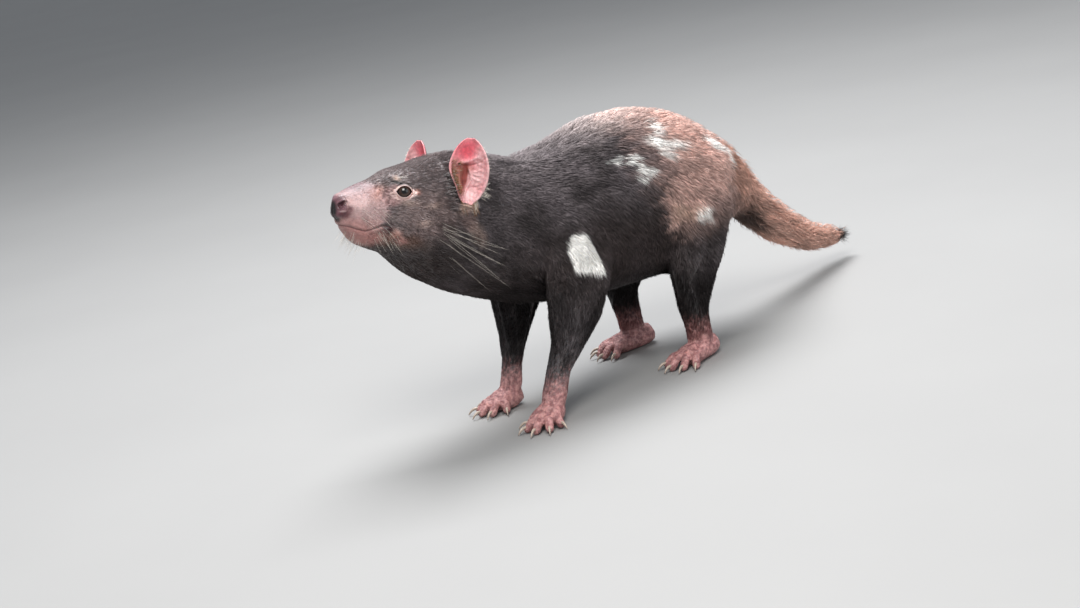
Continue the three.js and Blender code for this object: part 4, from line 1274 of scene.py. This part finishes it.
def marks_group():
    """The animal's colours at a place, with painted light and shade among them, and that place in the head's
    frame, shared by the skin and the coat.
    """
    group = bpy.data.node_groups.new("marks", "ShaderNodeTree")
    group.interface.new_socket("Place", in_out="INPUT", socket_type="NodeSocketVector")
    group.interface.new_socket("Colour", in_out="OUTPUT", socket_type="NodeSocketColor")
    group.interface.new_socket("Head", in_out="OUTPUT", socket_type="NodeSocketVector")
    t = Tree(group)
    place = t.add("NodeGroupInput").outputs[0]
    wavy = t.warped(t.warped(place, 45, 0.014), 210, 0.005)
    wide = t.warped(wavy, 22, 0.03)
    streaks = t.noise(t.drawn_out(place, 0.3), 170, 3)

    def streaky(where, reach):
        """A place pushed along the body by streaks, up to a reach in metres."""
        shift = t.add("ShaderNodeCombineXYZ", {0: t.steps(streaks, 0.3, 0.7, -reach, reach)}).outputs[0]
        return t.vector("ADD", where, shift)

    colour = t.mix(t.steps(t.noise(place, 28, 3), 0.3, 0.7), "dark", "flank")

    def mirrored(where):
        parts = {0: t.part(where, 0), 1: t.math("ABSOLUTE", t.part(where, 1)), 2: t.part(where, 2)}
        return t.add("ShaderNodeCombineXYZ", parts).outputs[0]

    def in_head_frame(where):
        turn = Matrix([[axis[k] for axis in HEAD_AXES] for k in range(3)]).to_euler()
        inputs = {"Vector": where, "Location": (HEAD_BASE * MM).tolist(), "Rotation": turn}
        return mirrored(t.add("ShaderNodeMapping", inputs, vector_type="TEXTURE").outputs[0])

    colour = t.lay(BODY_MARKS, mirrored(streaky(wide, 0.013)), colour)
    colour = t.lay(WHITE_MARKS, streaky(wavy, 0.005), colour)
    patch = t.outline(t.warped(place, 260, 0.004), SHOULDER_PATCH, 1.2)
    patch = t.math("MULTIPLY", patch, t.steps(t.part(place, 1), -0.03, -0.04))
    colour = t.mix(patch, colour, "white")
    height = t.math("ADD", t.part(place, 2), t.steps(t.noise(place, 300, 4), 0.2, 0.8, -0.009, 0.009))
    foot = t.math("MULTIPLY", t.steps(height, 0.052, 0.022), t.steps(t.part(place, 0), 0.13, 0.11))
    bare = t.mix(t.steps(t.noise(place, 230, 4, 0.65), 0.36, 0.64), "paw", "toe")
    colour = t.mix(foot, colour, bare)
    colour = t.lay(FACE_MARKS, in_head_frame(t.warped(place, 130, 0.0045)), colour)
    t.add("NodeGroupOutput", {0: colour, 1: in_head_frame(place)})
    return group


def new_material(name):
    material = bpy.data.materials.new(name)
    material.use_nodes = True
    return material, Tree(material.node_tree)


def coat_material(marks):
    material, t = new_material("coat")
    place = t.read("place", "Vector")
    group = t.add("ShaderNodeGroup", {0: place}, node_tree=marks)
    light = t.math("MULTIPLY", t.read("shade"), t.steps(t.read("along"), 0, 1, 0.8, 1.15))
    streak = t.steps(t.noise(t.drawn_out(place, 0.35), 110, 3), 0.3, 0.7, 0.78, 1.2)
    browner = t.math("MULTIPLY", t.read("muzzle"), t.steps(t.read("shade"), 0.8, 1.2, 0.75, 0.1))
    colour = t.mix(browner, group.outputs[0], (0.17, 0.085, 0.07))
    pale = t.steps(t.add("ShaderNodeRGBToBW", {0: colour}).outputs[0], 0.72, 0.9)
    light = t.math("MAXIMUM", t.math("MULTIPLY", light, streak), pale)
    t.shade(Base_Color=t.scaled(colour, light), Roughness=0.55, Specular_IOR_Level=0.2)
    return material


def skin_material(marks):
    material, t = new_material("skin")
    place = t.object_place()
    group = t.add("ShaderNodeGroup", {0: place}, node_tree=marks)
    lid, pad, slit = t.read("lid"), t.read("pad"), t.read("nostril")
    mottle = t.math(
        "MULTIPLY",
        t.steps(t.noise(place, 420, 4, 0.6), 0.3, 0.7, 0.86, 1.1),
        t.steps(t.noise(place, 95, 3), 0.3, 0.7, 0.84, 1.12),
    )
    colour = t.scaled(group.outputs["Colour"], mottle)
    grain = t.mix(t.noise(place, 300, 3), (0.10, 0.040, 0.050), (0.19, 0.092, 0.108))
    colour = t.lay(NOSE_MARKS, group.outputs["Head"], t.mix(pad, colour, grain))
    # Painted shade, near black, deep in the nostril pits.
    colour = t.mix(t.steps(slit, 4.4, 1.8), colour, (0.016, 0.004, 0.006))
    colour = t.mix(t.read("ring"), colour, "lid")
    colour = t.mix(t.steps(lid, 0.75, 0.25), colour, (0.03, 0.014, 0.012))
    colour = t.mix(t.steps(t.read("lips"), 0.4, 1.0, 0, 0.6), colour, (0.11, 0.035, 0.035))
    fine = t.noise(place, 900, 3)
    creases = t.cells(place, 420, feature="DISTANCE_TO_EDGE")
    lined = t.steps(t.part(place, 2), 0.05, 0.06, 0.9, 0.25)
    pores = t.cells(place, 800)
    height = t.math("ADD", t.math("MULTIPLY", fine, 0.6), t.math("MULTIPLY", pores, 0.5))
    height = t.math("ADD", height, t.math("MULTIPLY", t.steps(creases, 0, 0.25), lined))
    wet = t.math("MULTIPLY", t.steps(lid, 0, 1.2, 0.3, 1), t.steps(pad, 0, 1, 1, 0.62))
    t.shade(
        Base_Color=colour,
        Normal=t.bumped(height, 0.45, 0.0006),
        Roughness=t.math("MULTIPLY", t.steps(fine, 0.2, 0.8, 0.44, 0.64), wet),
        Subsurface_Weight=0.1,
        Subsurface_Scale=0.002,
        Subsurface_Radius=(1.0, 0.35, 0.2),
    )
    return material


def ear_material():
    material, t = new_material("ear")
    place = t.warped(t.read("ear", "Vector"), 140, 0.004)
    inside = COLOURS["ear_pink"]
    for name, at, reach, soft, strength in EAR_MARKS:
        inside = t.lay([(name, (*at, 0), (*reach, 500), 0, soft, strength)], place, inside)
    fold = t.read("fold")
    # Colour that follows the relief's height: ridges painted paler as highlights, grooves painted darker red as
    # shade.
    inside = t.mix(t.steps(fold, 0.5, 1.8, 0, 0.5), inside, "ear_pale")
    inside = t.mix(t.steps(fold, -0.5, -1.6, 0, 0.6), inside, (0.36, 0.07, 0.06))
    rear = t.steps(t.part(place, 0), -0.004, 0.008, 0.0, 0.5)
    inside = t.mix(t.math("MULTIPLY", t.steps(t.read("edge"), 0.84, 0.98), rear), inside, "ear_pale")
    where = t.object_place()
    veins = t.steps(t.noise(where, 260, 5, 0.65), 0.35, 0.65, 0.78, 1.12)
    outside = t.mix(t.noise(where, 150, 3), (0.16, 0.10, 0.10), (0.30, 0.18, 0.17))
    shown = t.math("MAXIMUM", t.read("inner"), t.steps(t.read("edge"), 0.8, 1.0, 0, 0.8))
    t.shade(
        Base_Color=t.scaled(t.mix(shown, outside, inside), veins),
        Normal=t.bumped(t.noise(where, 700, 4, 0.6), 0.4, 0.0006),
        Roughness=0.45,
        Subsurface_Weight=0.12,
        Subsurface_Scale=0.002,
        Subsurface_Radius=(1.0, 0.3, 0.2),
    )
    return material


def ear_coat_material():
    """The short hair on the backs of the ears."""
    material, t = new_material("ear_coat")
    tones = t.mix(t.noise(t.read("place", "Vector"), 160, 3), (0.045, 0.035, 0.035), (0.11, 0.08, 0.075))
    t.shade(Base_Color=t.scaled(tones, t.read("shade")), Roughness=0.55, Specular_IOR_Level=0.2)
    return material


def eye_material():
    material, t = new_material("eye")
    angle = t.read("angle")
    place = t.object_place()
    iris = t.mix(t.noise(place, 900, 3), (0.012, 0.006, 0.004), (0.05, 0.022, 0.013))
    colour = t.mix(t.steps(angle, 0.36, 0.42), (0.003, 0.0025, 0.0025), iris)
    colour = t.mix(t.steps(angle, 0.68, 0.8), colour, (0.006, 0.004, 0.004))
    wet = t.steps(t.noise(place, 300, 2), 0, 1, 0.04, 0.12)
    t.shade(Base_Color=colour, Roughness=wet, Coat_Weight=0.7, Coat_Roughness=0.02, Specular_IOR_Level=0.2)
    return material


def claw_material():
    material, t = new_material("claw")
    place = t.object_place()
    streaks = t.noise(place, 800, 3)
    horn = t.mix(streaks, (0.34, 0.26, 0.21), (0.50, 0.42, 0.34))
    horn = t.mix(t.steps(t.part(place, 2), 0.006, 0.0), horn, (0.22, 0.17, 0.14))
    worn = t.steps(streaks, 0.2, 0.8, 0.3, 0.45)
    t.shade(Base_Color=horn, Normal=t.bumped(streaks, 0.2, 0.0003), Roughness=worn)
    return material


def hair_material(name, colour):
    """Long hairs, darker towards the root."""
    material, t = new_material(name)
    light = t.math("MULTIPLY", t.read("shade"), t.steps(t.read("along"), 0, 0.6, 0.6, 1))
    t.shade(Base_Color=t.scaled(colour, light), Roughness=0.35)
    return material


def finish_piece(piece, material, slot, *replaced):
    piece.data.materials.clear()
    piece.data.materials.append(material)
    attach(piece, "root")
    if replaced:
        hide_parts(*replaced)


def build_camera():
    azimuth, elevation, roll = (math.radians(CAMERA[k]) for k in ("azimuth", "elevation", "roll"))
    flat = math.cos(elevation)
    back = np.array([math.sin(azimuth) * flat, -math.cos(azimuth) * flat, math.sin(elevation)])
    level = np.array([math.cos(azimuth), math.sin(azimuth), 0.0])
    upright = np.cross(back, level)
    right = level * math.cos(roll) - upright * math.sin(roll)
    up = upright * math.cos(roll) + level * math.sin(roll)
    data = bpy.data.cameras.new("camera")
    data.lens = CAMERA["lens"]
    data.sensor_width = 36
    data.sensor_fit = "HORIZONTAL"
    camera = bpy.data.objects.new("camera", data)
    place = (CAMERA_TARGET + back * CAMERA["distance"]) * MM
    turn = Matrix([[right[k], up[k], back[k]] for k in range(3)]).to_4x4()
    camera.matrix_world = Matrix.Translation(Vector(place.tolist())) @ turn
    scene.collection.objects.link(camera)
    scene.camera = camera


def build_floor():
    mesh = bpy.data.meshes.new("floor")
    reach = 30
    corners = [(-reach, -reach, 0), (reach, -reach, 0), (reach, reach, 0), (-reach, reach, 0)]
    mesh.from_pydata(corners, [], [(0, 1, 2, 3)])
    floor = new_object("floor", mesh)
    material, t = new_material("floor")
    colour = t.mix(t.noise(t.object_place(), 3, 3), (0.24, 0.238, 0.234), (0.265, 0.263, 0.258))
    t.shade(Base_Color=colour, Roughness=0.7)
    mesh.materials.append(material)


LIGHTS = [
    # name, place and target in metres, size, power, colour
    ("key", (-1.1, -1.3, 2.2), (0, 0, 0.15), 1.2, 64, (1.0, 0.98, 0.95)),
    ("top", (0.35, 0.5, 2.3), (0, 0, 0.2), 1.4, 118, (0.98, 0.985, 1.0)),
    ("fill", (0.6, -2.4, 0.9), (0, 0, 0.15), 1.8, 14, (0.97, 0.98, 1.0)),
]


def build_lights():
    for name, place, target, size, power, colour in LIGHTS:
        data = bpy.data.lights.new(name, "AREA")
        data.size = size
        data.energy = power
        data.color = colour
        lamp = bpy.data.objects.new(name, data)
        lamp.location = place
        lamp.rotation_euler = (Vector(target) - Vector(place)).to_track_quat("-Z", "Y").to_euler()
        scene.collection.objects.link(lamp)
    world = bpy.data.worlds.new("studio")
    world.use_nodes = True
    world.node_tree.nodes["Background"].inputs[0].default_value = (0.84, 0.89, 0.96, 1)
    world.node_tree.nodes["Background"].inputs[1].default_value = 0.5
    scene.world = world
    scene.view_settings.view_transform = "Standard"


build_camera()
build_floor()
build_lights()

marks = marks_group()
coat = coat_material(marks)

flesh_nodes = [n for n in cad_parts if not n.startswith(("claw", "eye", "ear"))]
skin = build_skin()
kinds, fields, lie, lid = dress_skin(skin)
finish_piece(skin, skin_material(marks), "coat", *flesh_nodes)
tree = skin_tree(skin)
for piece in build_coat(skin, kinds, fields, lie, lid, tree):
    finish_piece(piece, coat, "rump_coat" if "tail" in piece.name else "coat")

pale_hair = hair_material("pale_hair", (0.66, 0.60, 0.52))
brown_hair = hair_material("brown_hair", (0.30, 0.15, 0.075))
crown_hair = hair_material("crown_hair", (0.085, 0.066, 0.064))
ear_skin, ear_coat = ear_material(), ear_coat_material()
wet_eye = eye_material()
horn = claw_material()
for side, ear in EARS.items():
    made = build_ear(side, ear)
    finish_piece(made, ear_skin, "ear_skin", "ear_" + side)
    ear_tree = skin_tree(made)
    finish_piece(build_ear_coat(side, ear, made, ear_tree), ear_coat, "coat")
    for piece, look in zip(build_ear_hairs(side, ear, ear_tree, tree), (brown_hair, pale_hair, crown_hair)):
        finish_piece(piece, look, "coat")
    finish_piece(build_eye(side, ear["sign"]), wet_eye, "eye", "eye_" + side)
    for end in ("front", "hind"):
        claws, replaced = build_claws(f"{end}_{side}")
        finish_piece(claws, horn, "claw", *replaced)
pale, dark = build_whiskers(tree)
finish_piece(pale, pale_hair, "coat")
dark_hair = hair_material("dark_hair", (0.03, 0.025, 0.024))
finish_piece(dark, dark_hair, "coat")
finish_piece(build_brush(tree), dark_hair, "rump_coat")
